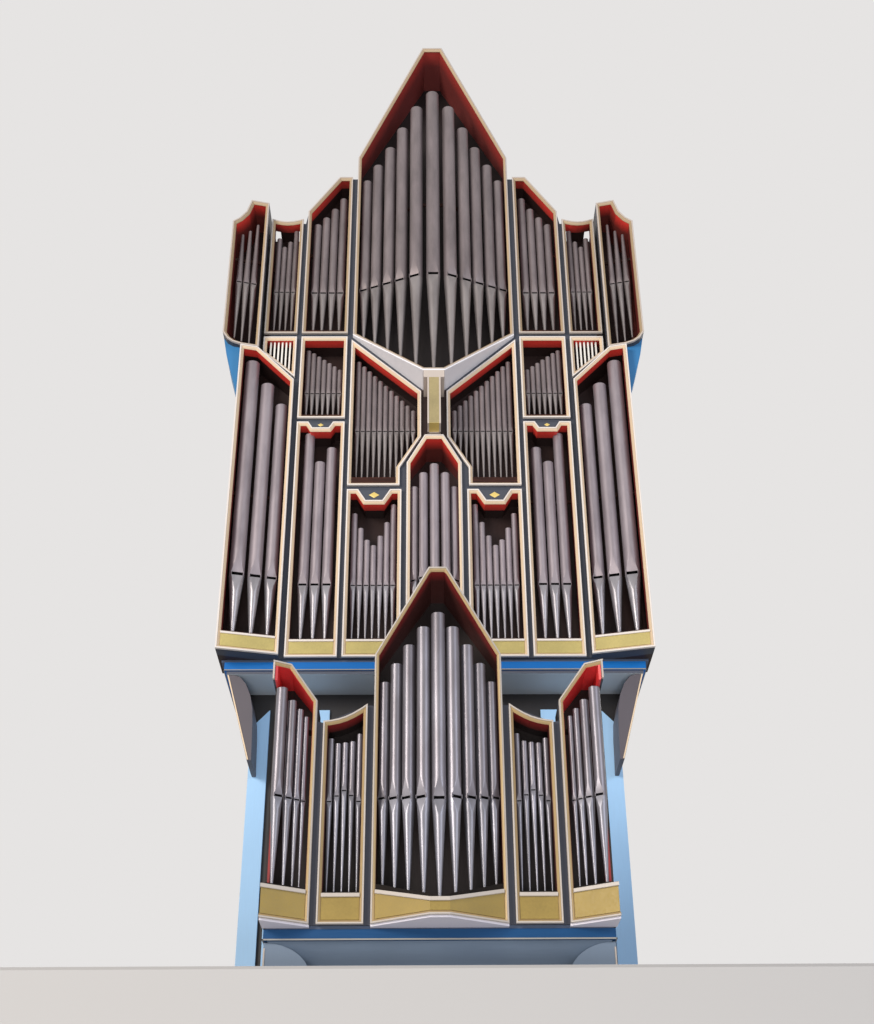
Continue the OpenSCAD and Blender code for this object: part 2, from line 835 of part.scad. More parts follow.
// gilt panels at the foot of the lower fields
panel_t = 8;
module panel(x0, x1, z0, h, y = 0, f = field_in) {
    translate([x0 + f, y - panel_t, z0 + f])
        cube([x1 - x0 - 2 * f, panel_t, h - f]);
}

// the same on a broken front
module front_panel(front, x0, x1, z0, h, f = field_in) {
    intersection() {
        translate([x0 + f, front_min(front) - 50, z0 + f])
            cube([x1 - x0 - 2 * f, 300, h - f]);
        strip(front, -panel_t, 0, z0, z0 + h);
    }
}

module gilt_panels() {
    color("#bea550") {
        both() {
            panel(tall_x0, tall_x1, base_z, panel_h);
            panel(low_x0, low_x1, base_z, panel_h);
            front_panel(ped_front, pedal_x, case_half_w, base_z, panel_h);
        }
        front_panel(mid_front, -mid_hw, mid_hw, base_z, panel_h);
    }
}

// plates above the notched fields, bare where the real ones carry signs
function plate_pts(x0, x1, z1, notch) =
    let (m = (x0 + x1) / 2, w = notch[0], h = notch[1])
    inset([[m - w / 2 + h * 0.6, z1 - h], [m + w / 2 - h * 0.6, z1 - h], [m + w / 2, z1],
           [m - w / 2, z1]], 5);

module name_plates() {
    color("#3a404c")
        both() {
            slab(plate_pts(tall_x0, tall_x1, tall_top, tall_notch), -12, stile_back);
            slab(plate_pts(low_x0, low_x1, low_top, low_notch), -12, stile_back);
        }
}

// Toe boards that the feet stand on, a little above the rail over the gilt panels
low_toe = base_z + panel_h + edge_w + 20;

// a level board across a flat field
module toe(pts, top, y0 = 0, y1 = box_d) {
    intersection() {
        slab(inset(pts, toe_in), y0, y1);
        translate([-2 * case_half_w, y0 - 1, 0])
            cube([4 * case_half_w, y1 - y0 + 2, top]);
    }
}

// a level board behind a broken front
module front_toe(pts, front, top, y1) {
    intersection() {
        slab(inset(pts, toe_in), front_min(front) - 10, y1);
        behind(front, 0, y1, 0, top);
    }
}

// a small step under one foot, standing on the lining of its box
module foot_step(pts, x, w, y0, y1, top) {
    intersection() {
        slab(inset(pts, toe_in), y0, y1);
        translate([x - w / 2, y0 - 1, 0])
            cube([w, y1 - y0 + 2, top]);
    }
}

// lower edges of the prow tower and the six-sided fields, and the feet above them
keel_slope = (tower_low_z - keel_z) / (tower_half_w - tower_nose);
function keel_edge(x) = keel_z + max(0, abs(x) - tower_nose) * keel_slope;
function tower_foot(x) = keel_edge(x) + toe_in / cos(atan(keel_slope)) + 44;
hex_slope = (hex_pts[4][1] - hex_pts[5][1]) / (hex_low_x - hex_x);
function hex_foot(x) = hex_pts[4][1] - (x - hex_x) * hex_slope + toe_in / cos(atan(hex_slope)) + 30;
hex_toe = low_top + stile_w + 90;
row_toe = toe_in + 20;
hex_pipe_pitch = (low_x1 - hex_x - 2 * 44) / 11;
hex_xs = [for (i = [0 : 10]) hex_x + 45 + hex_pipe_pitch * (i + 0.5)];
tower_in = tower_half_w - toe_in;
tower_xs = tower_in * [0, 0.224, 0.419, 0.588, 0.756, 0.906];
tower_ds = tower_in * [0.182, 0.173, 0.162, 0.153, 0.145, 0.136];
uw_xs = spread(uw_x0 + toe_in, uw_x1 - toe_in, [0.29, 0.541, 0.786]);
uw_feet = pedal_top_z * [1, 1, 1] + [110, 120, 150];

module toe_boards() {
    color("#5a2e22") {
        both() {
            toe(tall_pts, low_toe);
            toe(low_pts, low_toe);
            toe(small_pts, row2_z0 + row_toe);
            toe(hex_pts, hex_toe);
            toe(shou_pts, row3_z0 + row_toe);
            toe(conc_pts, row3_z0 + row_toe);
            front_toe(ped_pts, ped_front, low_toe, box_d);
            for (i = [0 : 2])
                foot_step(hex_pts, hex_xs[i], 24, 50, 110, hex_foot(hex_xs[i]));
            for (i = [1 : 5])
                foot_step(tower_pts, tower_xs[i], 60, front_y(tower_front, tower_xs[i]) + 60,
                    front_y(tower_front, tower_xs[i]) + 140, tower_foot(tower_xs[i]));
            for (i = [0 : 2])
                foot_step(uw_pts, uw_xs[i], 24, front_y(uw_front, uw_xs[i]) + 70,
                    front_y(uw_front, uw_xs[i]) + 130, uw_feet[i]);
        }
        foot_step(tower_pts, 0, 60, -tower_proj + 60, -tower_proj + 140, tower_foot(0));
        front_toe(mid_pts, mid_front, low_toe, box_d);
    }
}

// rails behind the pipes, which hold them upright
rail_t = 18;
rail_h = 30;
module stay_rail(pts, z, y, side = shell_t) {
    intersection() {
        slab(inset(pts, side), y, y + rail_t);
        translate([-2 * case_half_w, y - 1, z])
            cube([4 * case_half_w, rail_t + 2, rail_h]);
    }
}

// the same in a box whose front is turned or broken
module front_rail(pts, front, z, back, side = toe_in) {
    intersection() {
        slab(inset(pts, side), front_min(front), box_d);
        strip(front, back, back + rail_t, z, z + rail_h);
    }
}

module stay_rails() {
    color("#5a2e22") {
        both() {
            stay_rail(tall_pts, base_z + tall_h * 0.677, pipe_back + 60);
            stay_rail(low_pts, base_z + low_h * 0.626, pipe_back + 30);
            stay_rail(small_pts, row2_z0 + (row2_z1 - row2_z0) * 0.536, pipe_back + 20);
            stay_rail(hex_pts, hex_mouth_z + (row2_z1 - row2_z0) * 0.2, pipe_back + 20);
            stay_rail(shou_pts, row3_z0 + (shoulder_low_z - row3_z0) * 0.708, pipe_back + 40);
            stay_rail(conc_pts, row3_z0 + (conc_top_z - row3_z0) * 0.614, pipe_back + 25);
            front_rail(ped_pts, ped_front, base_z + (pedal_low_top_z - base_z) * 0.57,
                pipe_back + 78, shell_t);
            front_rail(uw_pts, uw_front, row3_z0 + (wing_shoulder_z - row3_z0) * 0.712, pipe_back + 36);
        }
        front_rail(tower_pts, tower_front,
            top_mouth_z + (tower_shoulder_z - top_mouth_z) * 0.574, pipe_back + 70);
        front_rail(mid_pts, mid_front, base_z + mid_low_h * 0.699, pipe_back + 45);
    }
}

module tower_pipes() {
    drops = [562, 623, 580, 557, 505, 457];
    roof = [for (x = tower_xs) min(tower_peak_z, line_z(tower_pts[3], tower_pts[2], x))];
    tops = roof - drops;
    color("#a8a4a6") {
        front_pipe(tower_front, 0, pipe_back, tower_foot(0), top_mouth_z, tops[0], tower_ds[0]);
        both()
            for (i = [1 : 5])
                front_pipe(tower_front, tower_xs[i], pipe_back, tower_foot(tower_xs[i]), top_mouth_z,
                    tops[i], tower_ds[i]);
    }
}

// heights of pipe tops, from a field's top and the drops below it
function below(top, drops) = [for (d = drops) top - d];

module lower_pipes() {
    mouth = base_z + low_mouth_h;
    mid_in = mid_hw - toe_in;
    mid_xs = mid_in * [0, 0.438, 0.8];
    mid_ds = mid_in * [0.371, 0.352, 0.324];
    mid_tops = below(mid_top, [251, 335, 442]);
    color("#a8a4a6") {
        both() {
            rank(tall_x0 + 60, tall_x1 - 60, below(tall_top, [218, 363, 73]), mouth - 7,
                low_toe, pipe_back);
            rank(low_x0 + 40, low_x1 - 40, below(low_top, [98, 275, 406, 497, 445, 330, 188]),
                mouth - 11, low_toe, pipe_back - 10);
            for (i = [1 : 2])
                front_pipe(mid_front, mid_xs[i], pipe_back - 15, low_toe, mouth, mid_tops[i], mid_ds[i]);
        }
        front_pipe(mid_front, 0, pipe_back - 15, low_toe, mouth, mid_tops[0], mid_ds[0]);
    }
}

module pedal_pipes() {
    inner = case_half_w - pedal_x - 2 * toe_in;
    xs = spread(pedal_x + toe_in, case_half_w - toe_in, [0.822, 0.49, 0.187]);
    ds = inner * [0.295, 0.272, 0.243];
    roof = [for (x = xs) min(pedal_top_z, line_z(ped_pts[4], ped_pts[3], x))];
    tops = roof - [113, 246, 326];
    color("#a8a4a6") both()
        for (i = [0 : 2])
            front_pipe(ped_front, xs[i], pipe_back + 10, low_toe, base_z + low_mouth_h + 15, tops[i],
                ds[i]);
}

module middle_pipes() {
    color("#a8a4a6") both() {
        rank(tall_x0 + 40, tall_x1 - 40, below(row2_z1, [315, 278, 241, 204, 167, 130, 99]),
            row2_z0 + 317, row2_z0 + row_toe, pipe_back - 20);
        for (i = [0 : 10]) {
            foot = i < 3 ? hex_foot(hex_xs[i]) : hex_toe;
            roof = line_z(hex_pts[3], hex_pts[2], hex_xs[i]);
            translate([hex_xs[i], pipe_back - 20, foot])
                pipe(hex_pipe_pitch * 0.9, hex_mouth_z - foot, roof - 220 + 9 * i - hex_mouth_z);
        }
    }
}

module upper_pipes() {
    uw_tops = below(wing_top_z, [203, 295, 355]);
    uw_d = (uw_x1 - uw_x0 - 2 * toe_in) * 0.225;
    color("#a8a4a6") both() {
        rank(tall_x0 + 48, tall_x1 - 48, below(shoulder_top_z, [206, 342, 455, 543]), top_mouth_z,
            row3_z0 + row_toe, pipe_back - 5);
        rank(pedal_x + 44, conc_x1 - 44, below(conc_top_z, [80, 216, 281, 172]), top_mouth_z + 10,
            row3_z0 + row_toe, pipe_back - 15);
        for (i = [0 : 2])
            front_pipe(uw_front, uw_xs[i], pipe_back, uw_feet[i], top_mouth_z + 10, uw_tops[i],
                uw_d, uw_d * 0.47);
    }
}

// Keydesk on the lower case's front

desk_y = foot_back - desk_out;
desk_top = desk_z + cheek_h;
bed_z = desk_z + 90;
keys_hw = 33 * key_w / 2;
upper_y = desk_y + 50 + manual_back;

// key bed, cheeks, stop jambs, key blocks and the music desk above the upper manual
module keydesk() {
    color("#7a5233") {
        translate([-desk_half_w + 40, desk_y, desk_z])
            cube([2 * desk_half_w - 80, desk_out, bed_z - desk_z]);
        both() {
            translate([desk_half_w - 40, 0, 0])
                rotate([90, 0, 90])
                    linear_extrude(40)
                        polygon([[desk_y - 20, desk_z - 20], [foot_back, desk_z - 20],
                                 [foot_back, desk_top], [foot_back - 190, desk_top],
                                 [desk_y + 90, desk_z + 300], [desk_y - 20, desk_z + 190]]);
            translate([keys_hw + 80, foot_back - 150, bed_z])
                cube([desk_half_w - keys_hw - 120, 150, desk_top - bed_z - 60]);
            translate([keys_hw, desk_y + 30, bed_z])
                cube([80, desk_out - 30, 50]);
            translate([keys_hw, upper_y, bed_z + 50])
                cube([80, foot_back - upper_y, manual_rise]);
        }
        translate([-keys_hw, desk_y + 51 + key_l, bed_z])
            cube([2 * keys_hw, desk_out - 51 - key_l, manual_rise - 2]);
        translate([-keys_hw - 80, upper_y + key_l + 4, bed_z + manual_rise - 2])
            cube([2 * keys_hw + 160, foot_back - upper_y - key_l - 4, 120]);
        translate([-keys_hw - 40, 0, bed_z + manual_rise + 110])
            rotate([90, 0, 90])
                linear_extrude(2 * keys_hw + 80)
                    polygon([[upper_y + key_l + 20, 0], [foot_back - 10, 320], [foot_back, 320],
                             [foot_back, 0]]);
    }
}

// the naturals of one manual: a slab parted by narrow grooves
module manual(y, z) {
    translate([-keys_hw, y, z])
        difference() {
            cube([2 * keys_hw, key_l, 22]);
            for (i = [1 : 32])
                translate([i * key_w - 0.75, -1, 12])
                    cube([1.5, key_l + 2, 11]);
        }
}

module natural_keys() {
    color("#ece6d6") {
        manual(desk_y + 50, bed_z);
        manual(upper_y, bed_z + manual_rise - 2);
    }
}

// which gaps between naturals hold a sharp, from low C upwards
function has_sharp(i) = search(i % 7, [0, 1, 3, 4, 5]) != [];

module sharp_keys() {
    color("#241c1a")
        for (at = [[desk_y + 50, bed_z + 22], [upper_y, bed_z + manual_rise + 20]],
             i = [0 : 31])
            if (has_sharp(i))
                translate([-keys_hw + (i + 1) * key_w - 5.5, at[0] + 50, at[1]])
                    cube([11, key_l - 50, 11]);
}

// pedalboard: cheeks, cross rails and the pedal keys fixed in them
module pedalboard() {
    naturals = 18;
    hw = naturals * pedal_pitch / 2;
    y0 = foot_back - pedalboard_l;
    color("#7a5233") {
        both()
            translate([hw, y0, 0])
                cube([45, pedalboard_l, 165]);
        for (y = [y0 + 60, foot_back - 60])
            translate([-hw, y, duct_h])
                cube([2 * hw, 40, 60]);
        translate([-hw, foot_back - 20, duct_h])
            cube([2 * hw, 20, 115]);
        for (i = [0 : naturals - 1])
            translate([-hw + (i + 0.5) * pedal_pitch - 11, y0 + 20, duct_h + 60])
                cube([22, pedalboard_l - 20, 24]);
        for (i = [0 : naturals - 2])
            if (has_sharp(i))
                translate([-hw + (i + 1) * pedal_pitch - 11, foot_back - 280, duct_h + 60])
                    cube([22, 280, 60]);
    }
}

// Chair case

// the wings have no outer board in front of their pipes
wing_hood_z = chair_wing_top_z - 120;
module wing_window() {
    translate([chair_wide - 60, cy - 250, ch_z + chair_panel_h + edge_w])
        cube([100, 290, wing_hood_z - ch_z - chair_panel_h - edge_w]);
}

ch_back = cy + chair_box;
ch_inner = ch_back + 20;

module chair_tower_body() {
    color("#3a404c")
        difference() {
            intersection() {
                slab(ch_tower_pts, cy - 300, ch_inner);
                behind(ch_front, stile_back, ch_inner, ch_z, chair_peak_z);
            }
            slab(inset(ch_tower_pts, shell_t), cy - 400, ch_back);
        }
}

module chair_side_bodies() {
    low = chair_wing_low_z - 120;
    color("#3a404c")
        both()
            difference() {
                union() {
                    slab([[chair_half_w, ch_z], [ch_wing_x0, ch_z], [ch_wing_x0, low],
                          [chair_flat_x1, ch_flat_top], [ch_flat_x0, ch_flat_top + ch_flat_rise],
                          [chair_half_w, ch_flat_top + ch_flat_rise]], cy + stile_back, ch_inner);
                    intersection() {
                        slab(ch_wing_pts, cy - 300, ch_inner);
                        behind(ch_wing_front, stile_back, ch_inner, ch_z, chair_wing_top_z + 10);
                    }
                }
                slab(inset(ch_flat_pts, shell_t), cy - 100, ch_back);
                slab(inset(ch_wing_pts, shell_t), cy - 400, ch_back);
                wing_window();
            }
}

// plain closed boxes behind the chair case's fields
ch_board = 20;
module chair_back_box(pts) {
    difference() {
        slab(pts, ch_inner, cy + chair_d);
        slab(inset(pts, ch_board), ch_inner - 10, cy + chair_d - ch_board);
    }
}

ch_back_hw = chair_wide - 25;
ch_shoulder = ch_flat_top + ch_flat_rise;

module chair_back() {
    color("#3a404c")
        difference() {
            chair_back_box([[-ch_back_hw, ch_z], [ch_back_hw, ch_z], [ch_back_hw, ch_flat_top - 40],
                            [chair_half_w, ch_shoulder], [-chair_half_w, ch_shoulder],
                            [-ch_back_hw, ch_flat_top - 40]]);
            back_panels(-ch_back_hw, ch_back_hw, ch_z, ch_flat_top - 40, 4, 1, cy + chair_d);
            side_panels(ch_back_hw, ch_inner, cy + chair_d, ch_z, ch_flat_top - 40, 1, 1);
        }
}

module chair_tower_back() {
    color("#3a404c")
        chair_back_box([[-chair_half_w, ch_shoulder], [chair_half_w, ch_shoulder],
                        [chair_half_w, chair_shoulder_z], [chair_nose, chair_peak_z],
                        [-chair_nose, chair_peak_z], [-chair_half_w, chair_shoulder_z]]);
}

module chair_plinth() {
    color("#343a46")
        translate([-chair_wide + 20, cy + 30, ch_z - 20])
            cube([2 * chair_wide - 40, chair_d - 30, 20]);
}

module chair_band() {
    color("#2470b4")
        translate([-chair_wide + 10, cy + 20, ch_z - 80])
            cube([2 * chair_wide - 20, chair_d - 20, 60]);
}

// the underside tapers inwards on all sides down to a flat foot
module chair_underside() {
    hw = chair_wide - 30;
    foot_hw = hw - 220;
    top = ch_z - 80;
    color("#6e8291") {
        intersection() {
            slab([[-foot_hw, duct_h], [foot_hw, duct_h], [hw, top], [-hw, top]], cy + 40,
                cy + chair_d - 20);
            translate([-hw - 10, 0, 0])
                rotate([90, 0, 90])
                    linear_extrude(2 * hw + 20)
                        polygon([[cy + 180, duct_h], [cy + chair_d - 120, duct_h],
                                 [cy + chair_d - 20, top], [cy + 40, top]]);
        }
        translate([-foot_hw, cy + 180, 0])
            cube([2 * foot_hw, chair_d - 300, duct_h]);
    }
}

module tracker_duct() {
    color("#3a404c")
        translate([-250, cy + chair_d - 120, 0])
            cube([500, chair_gap - chair_d + 120 + foot_back, duct_h]);
}

// the tower's gilt panel and the rail above it are hollowed towards the middle
ch_dip_z = ch_z + chair_panel_h - 90;
ch_rise_z = ch_z + chair_panel_h;
module dipped(z_in, z_out, z_low, o0) {
    hw = chair_half_w - ch_field_in;
    intersection() {
        slab([[-hw, z_low], [hw, z_low], [hw, z_out], [chair_nose, z_in], [-chair_nose, z_in],
              [-hw, z_out]], cy - 400, cy + 10);
        strip(ch_front, o0, 0, ch_z, chair_shoulder_z);
    }
}

module chair_tower_frame() {
    color("#e8c98c") {
        bent_frame(ch_tower_pts, ch_front, ch_z - 10, chair_peak_z + 10, chair_edge_w, chair_bevel_w);
        difference() {
            dipped(ch_dip_z + chair_edge_w, ch_rise_z + chair_edge_w, ch_z + ch_field_in, -bevel_y);
            translate([0, 5, 0])
                dipped(ch_dip_z, ch_rise_z, ch_z + ch_field_in - 1, -bevel_y - 20);
        }
    }
}

module chair_side_frames() {
    color("#e8c98c") both() {
        flat_frame(ch_flat_pts, cy, chair_edge_w, chair_bevel_w);
        low_rail(ch_flat_x0, chair_flat_x1, cy, ch_z + chair_panel_h - 15, ch_field_in, chair_edge_w);
        front_low_rail(ch_wing_front, ch_wing_x0, chair_wide + ch_field_in, ch_z + chair_panel_h,
            ch_field_in, chair_edge_w);
        difference() {
            bent_frame(ch_wing_pts, ch_wing_front, ch_z - 10, chair_wing_top_z + 10, chair_edge_w,
                chair_bevel_w);
            // the outer side is open; only the hood's end board keeps its edging
            translate([chair_wide - 60, cy - 250, ch_z + ch_field_in])
                cube([100, 290, wing_hood_z - ch_z - ch_field_in]);
            translate([chair_wide - 60, cy - 250, wing_hood_z - 1])
                cube([60 - chair_edge_w, 290, chair_wing_top_z - ch_field_in - wing_hood_z + 1]);
        }
    }
}

module chair_linings() {
    color("#b02a20") {
        bent_lining(ch_tower_pts, ch_front, ch_back, ch_z - 10, chair_peak_z + 10);
        both() {
            flat_lining(ch_flat_pts, cy);
            difference() {
                bent_lining(ch_wing_pts, ch_wing_front, ch_back, ch_z - 10, chair_wing_top_z + 10);
                wing_window();
            }
        }
    }
}

module chair_panels() {
    color("#bea550") {
        both() {
            panel(ch_flat_x0, chair_flat_x1, ch_z, chair_panel_h - 15, cy, ch_field_in);
            front_panel(ch_wing_front, ch_wing_x0, chair_wide + ch_field_in - 3, ch_z, chair_panel_h,
                ch_field_in);
        }
        dipped(ch_dip_z, ch_rise_z, ch_z + ch_field_in, -panel_t);
    }
}

ch_in = chair_half_w - toe_in;
ch_xs = ch_in * [0, 0.245, 0.487, 0.702, 0.897];
ch_ds = ch_in * [0.234, 0.228, 0.217, 0.2, 0.178];
ch_feet = [for (i = [0 : 4]) ch_z + chair_panel_h - 53 + 27.3 * i];
ch_flat_toe = ch_z + chair_panel_h + edge_w + 5;
ch_wing_toe = ch_z + chair_panel_h + edge_w + 20;
cw_xs = spread(ch_wing_x0 + toe_in, chair_wide, [0.176, 0.333, 0.533, 0.789]);
cw_ds = (chair_wide - ch_wing_x0 - toe_in) * [0.138, 0.176, 0.222, 0.284];

module chair_toes() {
    color("#5a2e22") {
        both() {
            toe(ch_flat_pts, ch_flat_toe, cy, ch_back);
            front_toe(ch_wing_pts, ch_wing_front, ch_wing_toe, ch_back);
            for (i = [1 : 4])
                foot_step(ch_tower_pts, ch_xs[i], 52, front_y(ch_front, ch_xs[i]) + 45,
                    front_y(ch_front, ch_xs[i]) + 105, ch_feet[i]);
        }
        foot_step(ch_tower_pts, 0, 52, cy - chair_proj + 45, cy - chair_proj + 105, ch_feet[0]);
        intersection() {
            slab(concat([[-ch_in, ch_z], [ch_in, ch_z], [ch_in, ch_feet[4]]],
                        [for (i = [4 : -1 : 0]) [ch_xs[i], ch_feet[i] - 10]],
                        [for (i = [1 : 4]) [-ch_xs[i], ch_feet[i] - 10]], [[-ch_in, ch_feet[4]]]),
                cy - 400, ch_back);
            front_toe(ch_tower_pts, ch_front, chair_shoulder_z, ch_back);
        }
    }
}

module chair_stays() {
    color("#5a2e22") {
        both() {
            stay_rail(ch_flat_pts, chair_mouth_z + 260, cy + lining_d - rail_t, toe_in);
            intersection() {
                slab(inset(ch_wing_pts, toe_in), cy - 400, ch_back);
                strip(ch_wing_front, 110, 110 + rail_t, chair_mouth_z + 440,
                    chair_mouth_z + 440 + rail_h);
            }
        }
        intersection() {
            slab(inset(ch_tower_pts, toe_in), cy - 400, ch_back);
            strip(ch_front, 125, 125 + rail_t, chair_mouth_z + 470, chair_mouth_z + 470 + rail_h);
        }
    }
}

module chair_tower_pipes() {
    drops = [286, 323, 287, 272, 268];
    roof = [for (x = ch_xs) min(chair_peak_z, line_z(ch_tower_pts[2], ch_tower_pts[1], x))];
    tops = roof - drops;
    mouths = [for (i = [0 : 4]) chair_mouth_z - 42 + 14 * i];
    color("#a8a4a6") {
        front_pipe(ch_front, 0, 75, ch_feet[0], mouths[0], tops[0], ch_ds[0]);
        both()
            for (i = [1 : 4])
                front_pipe(ch_front, ch_xs[i], 75, ch_feet[i], mouths[i], tops[i], ch_ds[i]);
    }
}

module chair_side_pipes() {
    pitch = (chair_flat_x1 - ch_flat_x0 - 2 * 24) / 5;
    mouths = chair_mouth_z * [1, 1, 1, 1, 1] + [10, 46, 76, 43, 10];
    tops = below(ch_flat_top + ch_flat_rise, [166, 214, 221, 226, 195]);
    cw_tops = below(chair_wing_top_z, [290, 252, 207, 140]);
    color("#a8a4a6") both() {
        for (i = [0 : 4])
            translate([ch_flat_x0 + 24 + pitch * (i + 0.5), cy + 65, ch_flat_toe])
                pipe(pitch * 0.84, mouths[i] - ch_flat_toe, tops[i] - mouths[i]);
        for (i = [0 : 3])
            front_pipe(ch_wing_front, cw_xs[i], 66, ch_wing_toe, chair_mouth_z, cw_tops[i], cw_ds[i]);
    }
}

lower_case();
case_panels();
case_brackets();
case_plinth();
case_band();
case_soffit();
lower_body();
upper_body();
tower_body();
outer_bodies();
lower_back();
upper_back();
tower_back();
v_soffit();
chair_soffit();
keel();
lower_frames();
middle_frames();
upper_frames();
tower_frame();
field_linings();
tower_lining();
wing_coves();
grille_slats();
gilt_panels();
name_plates();
toe_boards();
stay_rails();
tower_pipes();
lower_pipes();
pedal_pipes();
middle_pipes();
upper_pipes();
keydesk();
natural_keys();
sharp_keys();
pedalboard();
chair_tower_body();
chair_side_bodies();
chair_back();
chair_tower_back();
chair_plinth();
chair_band();
chair_underside();
tracker_duct();
chair_tower_frame();
chair_side_frames();
chair_linings();
chair_panels();
chair_toes();
chair_stays();
chair_tower_pipes();
chair_side_pipes();
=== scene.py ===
"""Looks of a church pipe organ: a tall main case and a small chair case in front of it.

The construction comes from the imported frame. This script makes the mitred frames, the hollow
tin pipes and the small trims in mesh code, and gives every surface its finish.
"""

from __future__ import annotations

import logging
import math
from dataclasses import dataclass
from enum import Enum
from typing import Sequence

import bmesh
import bpy
from mathutils import Matrix, Vector


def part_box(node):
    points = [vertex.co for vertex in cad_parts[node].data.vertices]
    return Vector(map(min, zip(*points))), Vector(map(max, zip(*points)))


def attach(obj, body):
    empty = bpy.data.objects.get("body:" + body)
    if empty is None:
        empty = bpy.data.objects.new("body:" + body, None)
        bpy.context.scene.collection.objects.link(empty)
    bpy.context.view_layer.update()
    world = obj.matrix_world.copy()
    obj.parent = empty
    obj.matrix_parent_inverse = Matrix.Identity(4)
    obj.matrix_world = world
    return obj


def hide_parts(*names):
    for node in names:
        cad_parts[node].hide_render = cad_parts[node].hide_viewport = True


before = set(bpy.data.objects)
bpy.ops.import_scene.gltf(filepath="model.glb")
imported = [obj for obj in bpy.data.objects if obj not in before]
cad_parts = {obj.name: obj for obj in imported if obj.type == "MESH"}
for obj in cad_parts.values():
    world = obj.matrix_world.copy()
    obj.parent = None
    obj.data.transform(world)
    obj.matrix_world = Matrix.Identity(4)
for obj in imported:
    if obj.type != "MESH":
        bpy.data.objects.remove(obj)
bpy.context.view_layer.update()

LOG = logging.getLogger("pipe_organ")
MM = 0.001
PER_METRE = 1000.0
ROOT = "root"

Point = tuple[float, float]
Triple = tuple[float, float, float]
Outline = list[Point]
Material = bpy.types.Material
Tree = bpy.types.NodeTree
Node = bpy.types.Node
Socket = bpy.types.NodeSocket
Source = Node | Socket
Bmesh = bmesh.types.BMesh


# Colour and shader helpers


def srgb(code: str) -> tuple[float, float, float, float]:
    """Turn an sRGB hex colour into linear RGBA.

    Args:
        code: colour as "#rrggbb".

    Returns:
        Linear red, green and blue with an alpha of 1.
    """
    parts = [int(code[i:i + 2], 16) / 255 for i in (1, 3, 5)]
    linear = [c / 12.92 if c <= 0.04045 else ((c + 0.055) / 1.055) ** 2.4 for c in parts]
    return (linear[0], linear[1], linear[2], 1.0)


def add_node(tree: Tree, kind: str, settings: dict | None = None,
             links: dict | None = None) -> Node:
    """Add a node with its settings and links.

    Args:
        tree: node tree that gets the node.
        kind: shader node type without its prefix, such as "TexNoise".
        settings: attribute names, or input names and numbers, with their values.
        links: input names or numbers, with what feeds each: an output socket, or a node whose
            first output is used.

    Returns:
        The new node.
    """
    node = tree.nodes.new("ShaderNode" + kind)
    for name, value in (settings or {}).items():
        if isinstance(name, str) and hasattr(node, name):
            setattr(node, name, value)
        else:
            node.inputs[name].default_value = value
    for name, source in (links or {}).items():
        socket = source.outputs[0] if isinstance(source, Node) else source
        tree.links.new(socket, node.inputs[name])
    return node


def spans(start: Point, end: Point = (0.0, 1.0)) -> dict[str, float]:
    """Return the settings that map one span of numbers onto another."""
    return {"From Min": start[0], "From Max": start[1], "To Min": end[0], "To Max": end[1]}


# Most of a noise pattern's values lie in this span
NOISE_SPAN = (0.3, 0.7)


class Grain(Enum):
    """The axis along which grain, brush streaks or plane lines run."""

    ACROSS = 0
    FORWARD = 1
    UPRIGHT = 2

    def scale(self, spacing_mm: float, drawn_out: float) -> Triple:
        """Return a pattern's scale from its real spacing, drawn out along the grain."""
        per_metre = PER_METRE / spacing_mm
        return tuple(per_metre * (drawn_out if axis == self.value else 1.0) for axis in range(3))


def even(size_mm: float) -> Triple:
    """Return a pattern's scale from its real size, the same in all directions."""
    per_metre = PER_METRE / size_mm
    return (per_metre, per_metre, per_metre)


